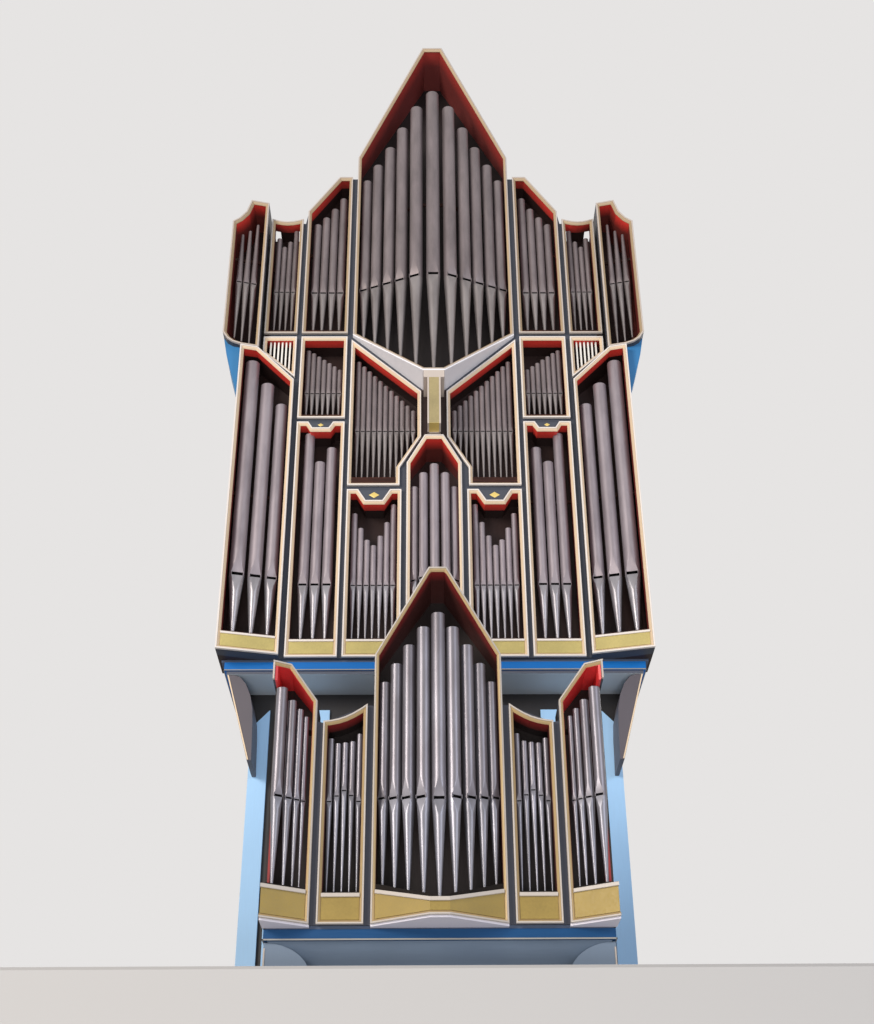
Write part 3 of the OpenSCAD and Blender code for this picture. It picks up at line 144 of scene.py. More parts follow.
@dataclass(frozen=True)
class Finish:
    """Base of every finish.

    Attributes:
        name: name of the material.
        colour: sRGB hex colour of the surface.
        roughness: microfacet roughness.
    """

    name: str
    colour: str
    roughness: float

    def start(self, sockets: dict | None = None) -> tuple[Material, Tree, Node]:
        """Make the material with its shader and output.

        Args:
            sockets: further sockets of the shader with their values.

        Returns:
            The material, its node tree and its Principled shader.
        """
        material = bpy.data.materials.new(self.name)
        material.use_nodes = True
        tree = material.node_tree
        tree.nodes.clear()
        shader = add_node(tree, "BsdfPrincipled",
                          {"Base Color": srgb(self.colour), "Roughness": self.roughness,
                           **(sockets or {})})
        add_node(tree, "OutputMaterial", links={"Surface": shader.outputs["BSDF"]})
        return material, tree, shader

    def pattern(self, tree: Tree, scale: Triple, detail: float, rough: float,
                twist: float = 0.0) -> Node:
        """Spread a cloudy or streaky pattern over the object.

        Args:
            tree: node tree of the material.
            scale: features per metre along X, Y and Z.
            detail: how many finer layers the pattern has.
            rough: how strong those layers are.
            twist: how far the pattern is distorted.

        Returns:
            The node that gives the pattern's value.
        """
        place = add_node(tree, "TexCoord")
        stretch = add_node(tree, "Mapping", {"Scale": scale},
                           {"Vector": place.outputs["Object"]})
        return add_node(tree, "TexNoise", {
            "Scale": 1.0, "Detail": detail, "Roughness": rough, "Distortion": twist},
            {"Vector": stretch})

    def drift(self, tree: Tree, value: Source, span: Point, change: Point,
              colour: Socket | None = None) -> Socket:
        """Let the colour get darker and lighter with a pattern.

        Args:
            tree: node tree of the material.
            value: value of the pattern.
            span: span of the pattern that is used.
            change: factors on the brightness at both ends of that span.
            colour: colour to change, or none for the finish's own.

        Returns:
            The changed colour.
        """
        level = add_node(tree, "MapRange", spans(span, change), {"Value": value})
        links = {"Value": level, "Color": colour} if colour else {"Value": level}
        tone = add_node(tree, "HueSaturation", {"Color": srgb(self.colour)}, links)
        return tone.outputs["Color"]

    def two_tone(self, tree: Tree, value: Source, span: Point, other: str) -> Socket:
        """Mix the colour with a second one where a pattern is strong.

        Args:
            tree: node tree of the material.
            value: value of the pattern.
            span: span of the pattern over which the colours change.
            other: sRGB hex of the second colour.

        Returns:
            The mixed colour.
        """
        mask = add_node(tree, "MapRange", spans(span), {"Value": value})
        colour = add_node(tree, "Mix",
                          {"data_type": "RGBA", 6: srgb(self.colour), 7: srgb(other)},
                          {0: mask})
        return colour.outputs[2]

    def surface(self, tree: Tree, shader: Node, colour: Socket, value: Source, gloss: Point,
                relief: Point | None = None, height: Source | None = None) -> None:
        """Link the colour, break up the gloss and raise the surface with a pattern.

        Args:
            tree: node tree of the material.
            shader: its shader.
            colour: colour of the surface.
            value: pattern that the roughness follows.
            gloss: change of the roughness at both ends of the pattern.
            relief: strength of the bump and its height in metres, if there is any.
            height: pattern of the bump, if it isn't the same.
        """
        rough = add_node(tree, "MapRange", spans(NOISE_SPAN, (
            self.roughness + gloss[0], self.roughness + gloss[1])), {"Value": value})
        tree.links.new(colour, shader.inputs["Base Color"])
        tree.links.new(rough.outputs["Result"], shader.inputs["Roughness"])
        if relief:
            bump = add_node(tree, "Bump", {"Strength": relief[0], "Distance": relief[1]},
                            {"Height": height or value})
            tree.links.new(bump.outputs["Normal"], shader.inputs["Normal"])


# Where a front leaves its case's front plane: the distances from the symmetry plane at which
# a facet starts and ends, and the front's y there, all in metres
Facets = tuple[tuple[float, float, float, float], ...]
MAIN_FACETS: Facets = ((0.08, 0.236, -0.11, 0.0), (1.2, 1.9, 0.0, -0.215))
TOWER_FACETS: Facets = ((0.097, 0.73, -0.26, 0.0),)
CHAIR_FACETS: Facets = ((0.055, 0.385, -0.19, 0.0), (0.724, 0.985, 0.0, -0.15))
CHAIR_FRONT = -2.25


@dataclass(frozen=True)
class BoxFinish(Finish):
    """Base of the finishes that change with the depth inside the pipe boxes.

    Attributes:
        front_y: front plane of the case in metres.
        facets: the front's departures from that plane.
    """

    front_y: float = 0.0
    facets: Facets = ()

    def locate(self, tree: Tree) -> tuple[Node, Node, Node, Node]:
        """Find where a point of the surface lies in its box.

        Args:
            tree: node tree of the material.

        Returns:
            Nodes with the split place, the split normal, the distance from the symmetry plane
            and the depth behind the front.
        """
        geometry = add_node(tree, "NewGeometry")
        place, facing = (add_node(tree, "SeparateXYZ", links={0: geometry.outputs[name]})
                         for name in ("Position", "Normal"))
        aside = add_node(tree, "Math", {"operation": "ABSOLUTE"}, {0: place.outputs["X"]})
        depth = add_node(tree, "Math", {"operation": "SUBTRACT", 1: self.front_y},
                         {0: place.outputs["Y"]})
        for x0, x1, y0, y1 in self.facets:
            facet = add_node(tree, "MapRange", spans((x0, x1), (y0, y1)), {"Value": aside})
            depth = add_node(tree, "Math", {"operation": "SUBTRACT"}, {0: depth, 1: facet})
        return place, facing, aside, depth


@dataclass(frozen=True)
class PaintedWood(BoxFinish):
    """Satin alkyd paint brushed on planed spruce boards.

    Brushing leaves faint streaks along the boards, so the gloss breaks into soft lines, and
    the paint has aged a little unevenly.

    Attributes:
        grain: direction of the boards.
        streak_mm: spacing of the brush streaks; a real brush leaves about 2 mm, drawn coarser
            so that it shows.
        cloud_mm: size of the patches in which the paint has aged unevenly.
        variation: how far the colour drifts, as a share of its value.
        worn: colour that shows through where edges have rubbed.
        speck_mm: size of the rubbed specks.
        inside_from: depth in metres behind the front from which walls are inside a box.
        inside: colour of the painted shade inside the boxes.
        forward_only: whether hoods and side walls are left without the painted shade.
        sheen_level: specular level of the paint film.
    """

    grain: Grain = Grain.UPRIGHT
    streak_mm: float = 9.0
    cloud_mm: float = 588.24
    variation: float = 0.10
    worn: str = ""
    speck_mm: float = 43.478
    inside_from: float | None = None
    inside: str = "#2b1c1a"
    forward_only: bool = False
    sheen_level: float = 0.5

    def build(self) -> Material:
        """Build the node material.

        Returns:
            The painted material.
        """
        material, tree, shader = self.start({"Specular IOR Level": self.sheen_level})
        streaks = self.pattern(tree, self.grain.scale(self.streak_mm, 0.06), 4.0, 0.6)
        clouds = self.pattern(tree, even(self.cloud_mm), 3.0, 0.55)
        blend = add_node(tree, "Mix", {"data_type": "FLOAT", 0: 0.35}, {2: clouds, 3: streaks})
        colour = self.drift(tree, blend, NOISE_SPAN,
                            (1.0 - self.variation, 1.0 + self.variation))
        if self.worn:
            specks = self.pattern(tree, even(self.speck_mm), 5.0, 0.7)
            mask = add_node(tree, "MapRange", spans((0.68, 0.74), (0.0, 0.6)),
                            {"Value": specks})
            rub = add_node(tree, "Mix", {"data_type": "RGBA", 7: srgb(self.worn)},
                           {0: mask, 6: colour})
            colour = rub.outputs[2]
        # Painted shade on the walls deep inside the boxes
        if self.inside_from is not None:
            colour = self.paint_inside_shade(tree, colour)
        self.surface(tree, shader, colour, streaks, (-0.07, 0.09), (0.12, 0.0008))
        return material

    def paint_inside_shade(self, tree: Tree, colour: Socket) -> Socket:
        """Darken the walls inside the pipe boxes with a painted shade.

        Args:
            tree: node tree of the material.
            colour: colour of the paint outside.

        Returns:
            The colour with the painted shade.
        """
        place, facing, _, depth = self.locate(tree)
        # Painted shade where it is deep enough and looks forward; hoods look down, and side
        # walls towards the middle
        deep = add_node(tree, "Math",
                        {"operation": "GREATER_THAN", 1: self.inside_from}, {0: depth})
        walls = add_node(tree, "Math", {"operation": "LESS_THAN", 1: -0.7},
                         {0: facing.outputs["Y"]})
        if not self.forward_only:
            down = add_node(tree, "Math", {"operation": "LESS_THAN", 1: -0.3},
                            {0: facing.outputs["Z"]})
            side = add_node(tree, "Math", {"operation": "SIGN"}, {0: place.outputs["X"]})
            inward = add_node(tree, "Math", {"operation": "MULTIPLY"},
                              {0: side, 1: facing.outputs["X"]})
            inward = add_node(tree, "Math", {"operation": "LESS_THAN", 1: -0.5}, {0: inward})
            for wall in (inward, down):
                walls = add_node(tree, "Math", {"operation": "MAXIMUM"}, {0: walls, 1: wall})
        mask = add_node(tree, "Math", {"operation": "MULTIPLY"}, {0: deep, 1: walls})
        # The painted shade takes the paint's place where the mask holds
        painted_shade_colour = add_node(tree, "Mix", {"data_type": "RGBA", 7: srgb(self.inside)},
                         {0: mask, 6: colour})
        return painted_shade_colour.outputs[2]


@dataclass(frozen=True)
class LiningPaint(BoxFinish):
    """Vermilion paint brushed on the boards inside the pipe boxes.

    Only the hoods' front edges keep the clear red, as painted light; in the depth of each
    hood and on the upright boards it gives way to a brown painted shade.

    Attributes:
        brown: colour of the painted shade.
        fade: depth in metres over which a hood's painted light turns into painted shade.
        lit_wings_from: distance from the symmetry plane beyond which the boards keep the clear
            red as painted light, except near the floor, where painted shade darkens them.
        lit_edge_share: how much painted light the hoods' front edges get.
        shade_above: height in metres above which painted shade dulls those edges too.
        streak_mm: spacing of the brush streaks, drawn coarser than the real 2 mm so that they
            show.
    """

    brown: str = "#4d1c17"
    fade: float = 0.2
    lit_wings_from: float = 99.0
    lit_edge_share: float = 1.0
    shade_above: float = 99.0
    streak_mm: float = 11.111

    def build(self) -> Material:
        """Build the node material.

        Returns:
            The lining's material.
        """
        material, tree, shader = self.start()
        place, facing, aside, depth = self.locate(tree)
        # Painted light on the hoods' front edges, giving way to painted shade with depth, on
        # upright boards, high up and near the floor
        lit_mask = add_node(tree, "MapRange", spans(
            (self.fade * 0.25, self.fade), (self.lit_edge_share, 0.0)), {"Value": depth})
        hood = add_node(tree, "MapRange", spans((-0.45, -0.1), (1.0, 0.12)),
                        {"Value": facing.outputs["Z"]})
        high_shade = add_node(tree, "MapRange", spans(
            (self.shade_above, self.shade_above + 0.5), (1.0, 0.4)), {"Value": place.outputs["Z"]})
        for part in (hood, high_shade):
            lit_mask = add_node(tree, "Math", {"operation": "MULTIPLY"}, {0: lit_mask, 1: part})
        wings = add_node(tree, "Math",
                         {"operation": "GREATER_THAN", 1: self.lit_wings_from}, {0: aside})
        high = add_node(tree, "MapRange", spans((0.9, 1.5), (0.3, 1.0)),
                        {"Value": place.outputs["Z"]})
        wings = add_node(tree, "Math", {"operation": "MULTIPLY"}, {0: wings, 1: high})
        lit_mask = add_node(tree, "Math", {"operation": "MAXIMUM"}, {0: lit_mask, 1: wings})
        paint = add_node(tree, "Mix",
                         {"data_type": "RGBA", 6: srgb(self.brown), 7: srgb(self.colour)},
                         {0: lit_mask})
        brushed = self.pattern(tree, Grain.UPRIGHT.scale(self.streak_mm, 1 / 15), 4.0, 0.6)
        colour = self.drift(tree, brushed, NOISE_SPAN, (0.88, 1.12), paint.outputs[2])
        self.surface(tree, shader, colour, brushed, (-0.06, 0.1), (0.12, 0.0008))
        return material


@dataclass(frozen=True)
class GiltPaint(Finish):
    """Gold bronze paint rolled on flat panels.

    The bronze flakes lie in clouds, so the panel is dull, slightly mottled and a little
    brighter where the roller overlapped.

    Attributes:
        flake_mm: size of the mottling.
        lap_mm: size of the patches where the roller overlapped.
    """

    flake_mm: float = 14.0
    lap_mm: float = 200.0

    def build(self) -> Material:
        """Build the node material.

        Returns:
            The gilt material.
        """
        material, tree, shader = self.start({"Metallic": 0.15})
        mottle = self.pattern(tree, even(self.flake_mm), 6.0, 0.7)
        laps = self.pattern(tree, even(self.lap_mm), 2.0, 0.5)
        blend = add_node(tree, "Mix", {"data_type": "FLOAT", 0: 0.5}, {2: laps, 3: mottle})
        colour = self.drift(tree, blend, (0.35, 0.65), (0.86, 1.12))
        self.surface(tree, shader, colour, mottle, (-0.1, 0.1), (0.15, 0.0006))
        return material


@dataclass(frozen=True)
class PlanedTin(Finish):
    """Tin and lead alloy, cast in sheets, planed, and rolled up into pipes.

    The plane leaves faint lines along the pipe and the alloy has dulled to a soft grey, so
    highlights stand as long blurred stripes with cloudy edges.

    Attributes:
        line_mm: spacing of the planing lines; real ones are under 1 mm, drawn coarser.
        cloud_mm: width of the dulled areas, which are drawn out along the pipe.
        dull: sRGB hex colour of the dulled areas.
        metallic: share of metal in the reflection.
        unevenness: how far the roughness drifts along the pipe.
        relief: strength of the planing lines.
    """

    line_mm: float = 5.0
    cloud_mm: float = 111.11
    dull: str = "#77737a"
    metallic: float = 0.9
    unevenness: float = 0.1
    relief: float = 0.06

    def build(self) -> Material:
        """Build the node material.

        Returns:
            The metal material.
        """
        material, tree, shader = self.start({"Metallic": self.metallic})
        lines = self.pattern(tree, Grain.UPRIGHT.scale(self.line_mm, 0.012), 3.0, 0.55)
        clouds = self.pattern(tree, Grain.UPRIGHT.scale(self.cloud_mm, 0.24444), 5.0, 0.6)
        colour = self.two_tone(tree, clouds, (0.35, 0.68), self.dull)
        blend = add_node(tree, "Mix", {"data_type": "FLOAT", 0: 0.5}, {2: lines, 3: clouds})
        self.surface(tree, shader, colour, blend,
                     (-self.unevenness, self.unevenness), (self.relief, 0.0005), lines)
        return material


@dataclass(frozen=True)
class StainedWood(Finish):
    """Planed hardwood, oiled or stained so that the figure shows.

    Long growth-ring bands run along the board with fine pores between them.

    Attributes:
        dark: sRGB hex colour of the late wood.
        ring_mm: spacing of the growth rings.
        grain: direction of the boards.
        sheen_level: specular level of the oil.
    """

    dark: str = "#2c1712"
    sheen_level: float = 0.5
    ring_mm: float = 12.0
    grain: Grain = Grain.ACROSS

    def build(self) -> Material:
        """Build the node material.

        Returns:
            The wood material.
        """
        material, tree, shader = self.start({"Specular IOR Level": self.sheen_level})
        figure = self.pattern(tree, self.grain.scale(self.ring_mm, 0.05), 6.0, 0.65, 0.8)
        colour = self.two_tone(tree, figure, (0.38, 0.64), self.dark)
        self.surface(tree, shader, colour, figure, (0.08, -0.08), (0.2, 0.0006))
        return material


@dataclass(frozen=True)
class PolishedBone(Finish):
    """Bone key coverings, sawn, glued and polished by hand.

    The bone is warm white with faint lengthwise veins and a soft shine from the fingers.

    Attributes:
        vein_mm: spacing of the veins.
    """

    vein_mm: float = 3.0

    def build(self) -> Material:
        """Build the node material.

        Returns:
            The bone material.
        """
        material, tree, shader = self.start({"Subsurface Weight": 0.08,
                                             "Subsurface Radius": (0.004, 0.003, 0.002)})
        veins = self.pattern(tree, Grain.FORWARD.scale(self.vein_mm, 0.06), 4.0, 0.6)
        colour = self.drift(tree, veins, NOISE_SPAN, (0.9, 1.04))
        self.surface(tree, shader, colour, veins, (-0.06, 0.08))
        return material


ANTHRACITE = "#41454f"


class Coat(Enum):
    """Every finish on the organ; a comment says what each is and what that gives the eye."""

    # Satin paint brushed along upright spruce boards: almost black, with soft streaks of gloss.
    # The box paints are the same coat with a black-brown painted shade on the walls behind the
    # pipes, the chair's a little darker all over as painted shade; the recess paint has painted
    # shade on its forward faces deep in the lower case.
    CASE = PaintedWood("anthracite_satin_paint", ANTHRACITE, 0.46, variation=0.12)
    CASE_BOX = PaintedWood("anthracite_box_paint", ANTHRACITE, 0.46, variation=0.12,
                           inside_from=0.1, facets=MAIN_FACETS, sheen_level=0.35)
    TOWER_BOX = PaintedWood("anthracite_tower_paint", ANTHRACITE, 0.46, variation=0.12,
                            inside_from=0.1, inside="#211c1c", facets=TOWER_FACETS,
                            sheen_level=0.35)
    RECESS = PaintedWood("anthracite_recess_paint", ANTHRACITE, 0.46, variation=0.12,
                         inside_from=0.3, inside="#1d1a1c", forward_only=True)
    CHAIR_BOX = PaintedWood("anthracite_chair_paint", "#3d3f49", 0.46, variation=0.12,
                            inside_from=0.1, inside="#211817", front_y=CHAIR_FRONT,
                            facets=CHAIR_FACETS, sheen_level=0.35)
    # Satin paint brushed along a rail: one dark line under the framed fields
    PLINTH = PaintedWood("dark_satin_paint", "#4c586f", 0.46, grain=Grain.ACROSS)
    # Blue satin paint brushed along the band: a strong even stroke, deeper on the chair case
    # as painted shade
    BAND = PaintedWood("bright_blue_satin_paint", "#0c68b4", 0.42, grain=Grain.ACROSS,
                       variation=0.07, sheen_level=0.3)
    CHAIR_BAND = PaintedWood("deep_blue_satin_paint", "#083f6b", 0.42, grain=Grain.ACROSS,
                             variation=0.07, sheen_level=0.3)
    # Grey-blue paint on boards that look down: flatter than the fronts, so they stay quiet
    UNDERSIDE = PaintedWood("grey_blue_satin_paint", "#6f7f92", 0.5, grain=Grain.ACROSS)
    # The main case's underside colour is paler, as painted light from below, and its forward
    # faces take a darker painted shade
    MAIN_UNDERSIDE = PaintedWood("pale_grey_blue_satin_paint", "#c3cdd6", 0.5,
                                 grain=Grain.ACROSS, variation=0.06, inside_from=-5.0,
                                 inside="#4e525e", forward_only=True)
    # Grey paint brushed over the bent boards of the coved brackets and cheeks: plain and even
    BRACKET = PaintedWood("grey_satin_paint", "#565056", 0.5, variation=0.08)
    CHAIR_RETURN = PaintedWood("pale_blue_grey_paint", "#697889", 0.5, variation=0.06)
    # Light blue paint on smooth plywood panels: hardly any streak, so they glow in the recess
    LIGHT_PANEL = PaintedWood("light_blue_satin_paint", "#a9d3f8", 0.48, variation=0.05)
    # Mid blue paint on the bent boards below the wings: a cloudy gradient round the cove
    COVE = PaintedWood("cove_blue_satin_paint", "#3377ab", 0.45, variation=0.08)
    # White paint on boards that look down: broad and matt, faintly grey
    SOFFIT = PaintedWood("soffit_white_paint", "#d6d1da", 0.55, grain=Grain.ACROSS,
                         variation=0.05)
    TOWER_SOFFIT = PaintedWood("tower_soffit_paint", "#f3f1f5", 0.5, grain=Grain.ACROSS,
                               variation=0.03)
    # Cream and white paint on run mouldings: fine streaks, brown where a corner has rubbed.
    # The high mouldings take darker copies as painted shade, and those of the chair case darker
    # straw and ivory copies, also as painted shade.
    CREAM = PaintedWood("cream_moulding_paint", "#e2c9a9", 0.42, variation=0.06,
                        streak_mm=6.0, worn="#b98f5c")
    WHITE = PaintedWood("white_edging_paint", "#e4dad1", 0.42, variation=0.04, streak_mm=6.0)
    TOWER_CREAM = PaintedWood("shaded_high_cream_moulding_paint", "#b8a07f", 0.44, variation=0.06,
                              streak_mm=6.0, worn="#94714a")
    TOWER_WHITE = PaintedWood("shaded_high_white_edging_paint", "#c6b9ae", 0.44, variation=0.05,
                              streak_mm=6.0)
    CHAIR_CREAM = PaintedWood("straw_moulding_paint", "#b49a6f", 0.42, variation=0.07,
                              streak_mm=6.0, worn="#9c8455")
    CHAIR_WHITE = PaintedWood("ivory_edging_paint", "#b4aaa0", 0.42, variation=0.05,
                              streak_mm=6.0)
    # Grey-white paint on a thin planed bead: a dull line along the band's lower edge
    BEAD = PaintedWood("dull_bead_paint", "#96938c", 0.46, grain=Grain.ACROSS, variation=0.05)
    # Vermilion paint brushed on the box boards: clear red at the hoods' lips as painted light,
    # brown painted shade inside; the tower's and the chair's copies are darker, as painted shade
    LINING = LiningPaint("vermilion_paint", "#ec4238", 0.42, brown="#662b26",
                         facets=MAIN_FACETS, fade=0.18, shade_above=7.6)
    TOWER_LINING = LiningPaint("tower_vermilion_paint", "#b03f38", 0.42, brown="#743431",
                               facets=TOWER_FACETS)
    CHAIR_LINING = LiningPaint("chair_vermilion_paint", "#db3a3b", 0.42, brown="#45201d",
                               front_y=CHAIR_FRONT, facets=CHAIR_FACETS, fade=0.12,
                               lit_wings_from=0.72, lit_edge_share=0.28)
    # Bronze paint rolled on panels: dull gold in soft clouds, browner on the chair case and
    # darker there as painted shade
    GILT = GiltPaint("gold_bronze_paint", "#b8a868", 0.5)
    KEEL_GILT = GiltPaint("gold_bronze_keel_paint", "#a3946a", 0.5)
    CHAIR_GILT = GiltPaint("gold_bronze_chair_paint", "#8d773a", 0.5)
    # Gold leaf laid on small ornaments: brighter and finer than the bronze
    BRIGHT_GOLD = GiltPaint("gold_leaf_line", "#e2c672", 0.35, flake_mm=6.0)
    # Pine planed and stained dark: the figure only just shows where the pipes stand
    TOE = StainedWood("stained_pine", "#432219", 0.5, dark="#1c0f0c", sheen_level=0.2)
    # The chair case's toe boards take a darker copy as painted shade
    DARK_TOE = StainedWood("dark_stained_pine", "#1d1714", 0.6, dark="#0f0c0b",
                           sheen_level=0.1)
    # Tin alloy cast on a bench and planed: soft blurred stripes of light. The high ranks take a
    # darker, duller copy, the darkness painted shade; the chair case takes a polished copy, also
    # darker as painted shade. The feet are glossier and lighter, the lighter tone a painted
    # reflection of the light that their cones catch.
    TIN = PlanedTin("planed_tin_alloy", "#a0969b", 0.44, dull="#867d82", metallic=0.45)
    FOOT_TIN = PlanedTin("planed_foot_tin", "#a8a5aa", 0.36, dull="#8b878b", metallic=0.65,
                         unevenness=0.05, relief=0.02)
    HIGH_TIN = PlanedTin("shaded_high_tin_alloy", "#8a7f80", 0.46, dull="#716869", metallic=0.45)
    HIGH_FOOT_TIN = PlanedTin("shaded_high_foot_tin", "#9a9392", 0.4, dull="#7f7877", metallic=0.6,
                              unevenness=0.05, relief=0.02)
    CHAIR_TIN = PlanedTin("polished_tin_alloy", "#827f86", 0.40, dull="#6c676c",
                          metallic=0.65, unevenness=0.03, relief=0.008)
    CHAIR_FOOT_TIN = PlanedTin("polished_foot_tin", "#8b8a92", 0.40, dull="#706f75",
                               metallic=0.65, unevenness=0.03, relief=0.005)
    # The unpolished inside of the tin sheet, darker still as painted shade: the mouths and
    # open tops read as dark holes
    BORE = PlanedTin("dark_pipe_bore", "#4a474b", 0.6, dull="#2e2c2f")
    # Oak rubbed with oil: brown bands along the boards with a low shine
    OAK = StainedWood("oiled_oak", "#8a6038", 0.42, dark="#5c3c22")
    # Sawn and polished bone: warm white with faint veins
    BONE = PolishedBone("bone_key_tops", "#ece6d6", 0.3)
    # Pearwood stained black and waxed: near black with sharp small highlights
    EBONY = StainedWood("blackened_pearwood", "#2a201d", 0.32, dark="#120e0d")
    # White paint brushed on thin slats: bright bars against the dark box
    SLAT = PaintedWood("white_slat_paint", "#ece8e0", 0.42, variation=0.05)


Palette = dict[Coat, Material]


# Outlines and fronts, as in the construction, in millimetres


def unit(v: Point) -> Point:
    """Return a 2-D vector scaled to length 1."""
    size = math.hypot(v[0], v[1])
    return (v[0] / size, v[1] / size)


def offset_corner(a: Point, b: Point, c: Point, t: float) -> Point:
    """Find the corner b of the path a, b, c moved inwards by t.

    Args:
        a: point before the corner.
        b: the corner.
        c: point after the corner.
        t: distance moved to the left of the path.

    Returns:
        The moved corner.
    """
    d1 = unit((b[0] - a[0], b[1] - a[1]))
    d2 = unit((c[0] - b[0], c[1] - b[1]))
    n1 = (-d1[1], d1[0])
    n2 = (-d2[1], d2[0])
    turn = d1[0] * d2[1] - d1[1] * d2[0]
    p = (b[0] + n1[0] * t, b[1] + n1[1] * t)
    if abs(turn) < 1e-4:
        return p
    q = (b[0] + n2[0] * t, b[1] + n2[1] * t)
    k = ((q[0] - p[0]) * d2[1] - (q[1] - p[1]) * d2[0]) / turn
    return (p[0] + d1[0] * k, p[1] + d1[1] * k)


def mirrored(points: Sequence[Point]) -> Outline:
    """Return an outline mirrored about the symmetry plane, still anticlockwise."""
    return [(-x, z) for x, z in reversed(points)]


def both_sides(right: Sequence[Point]) -> tuple[Point, ...]:
    """Return a symmetric closed outline from its right half, listed from below."""
    return tuple(right) + tuple(mirrored(right))


HOLLOW_STEPS = 6


def hollow(a: Point, b: Point, depth: float) -> Outline:
    """Return the points of a shallow hollowed edge from a to b."""
    shares = [k / HOLLOW_STEPS for k in range(HOLLOW_STEPS + 1)]
    return [(a[0] + (b[0] - a[0]) * t, a[1] + (b[1] - a[1]) * t - depth * math.sin(math.pi * t))
            for t in shares]


@dataclass(frozen=True)
class Front:
    """The front of a field in plan: points from left to right, in millimetres."""

    points: tuple[Point, ...]

    @staticmethod
    def flat(y: float) -> "Front":
        """Return a straight front across the whole organ at y."""
        return Front(((-4000.0, y), (4000.0, y)))

    @staticmethod
    def prow(half_w: float, nose: float, y: float, proj: float) -> "Front":
        """Return a prow-shaped front with a narrow facet that stands forward."""
        return Front(((-half_w, y), (-nose, y - proj), (nose, y - proj), (half_w, y)))

    def facet(self, x: float) -> int:
        """Return the number of the facet at x."""
        inner = self.points[1:-1]
        return sum(point[0] <= x for point in inner)

    def slope(self, x: float) -> float:
        """Return how fast the front goes back at x."""
        (x0, y0), (x1, y1) = self.points[self.facet(x):][:2]
        return (y1 - y0) / (x1 - x0)

    def y(self, x: float) -> float:
        """Return the front's y at x."""
        i = self.facet(x)
        return self.points[i][1] + (x - self.points[i][0]) * self.slope(x)

    def mirrored(self) -> "Front":
        """Return the front mirrored about the symmetry plane."""
        return Front(tuple((-x, y) for x, y in reversed(self.points)))

    def fold(self, outline: Sequence[Point]) -> Outline:
        """Add a point wherever an outline's edge crosses a fold of the front.

        Args:
            outline: closed outline in x and z.

        Returns:
            The outline with the added points.
        """
        result: Outline = []
        count = len(outline)
        for i, a in enumerate(outline):
            b = outline[(i + 1) % count]
            result.append(a)
            folds = [p[0] for p in self.points[1:-1]
                     if min(a[0], b[0]) + 0.5 < p[0] < max(a[0], b[0]) - 0.5]
            folds.sort(reverse=b[0] < a[0])
            for x in folds:
                k = (x - a[0]) / (b[0] - a[0])
                result.append((x, a[1] + (b[1] - a[1]) * k))
        return result


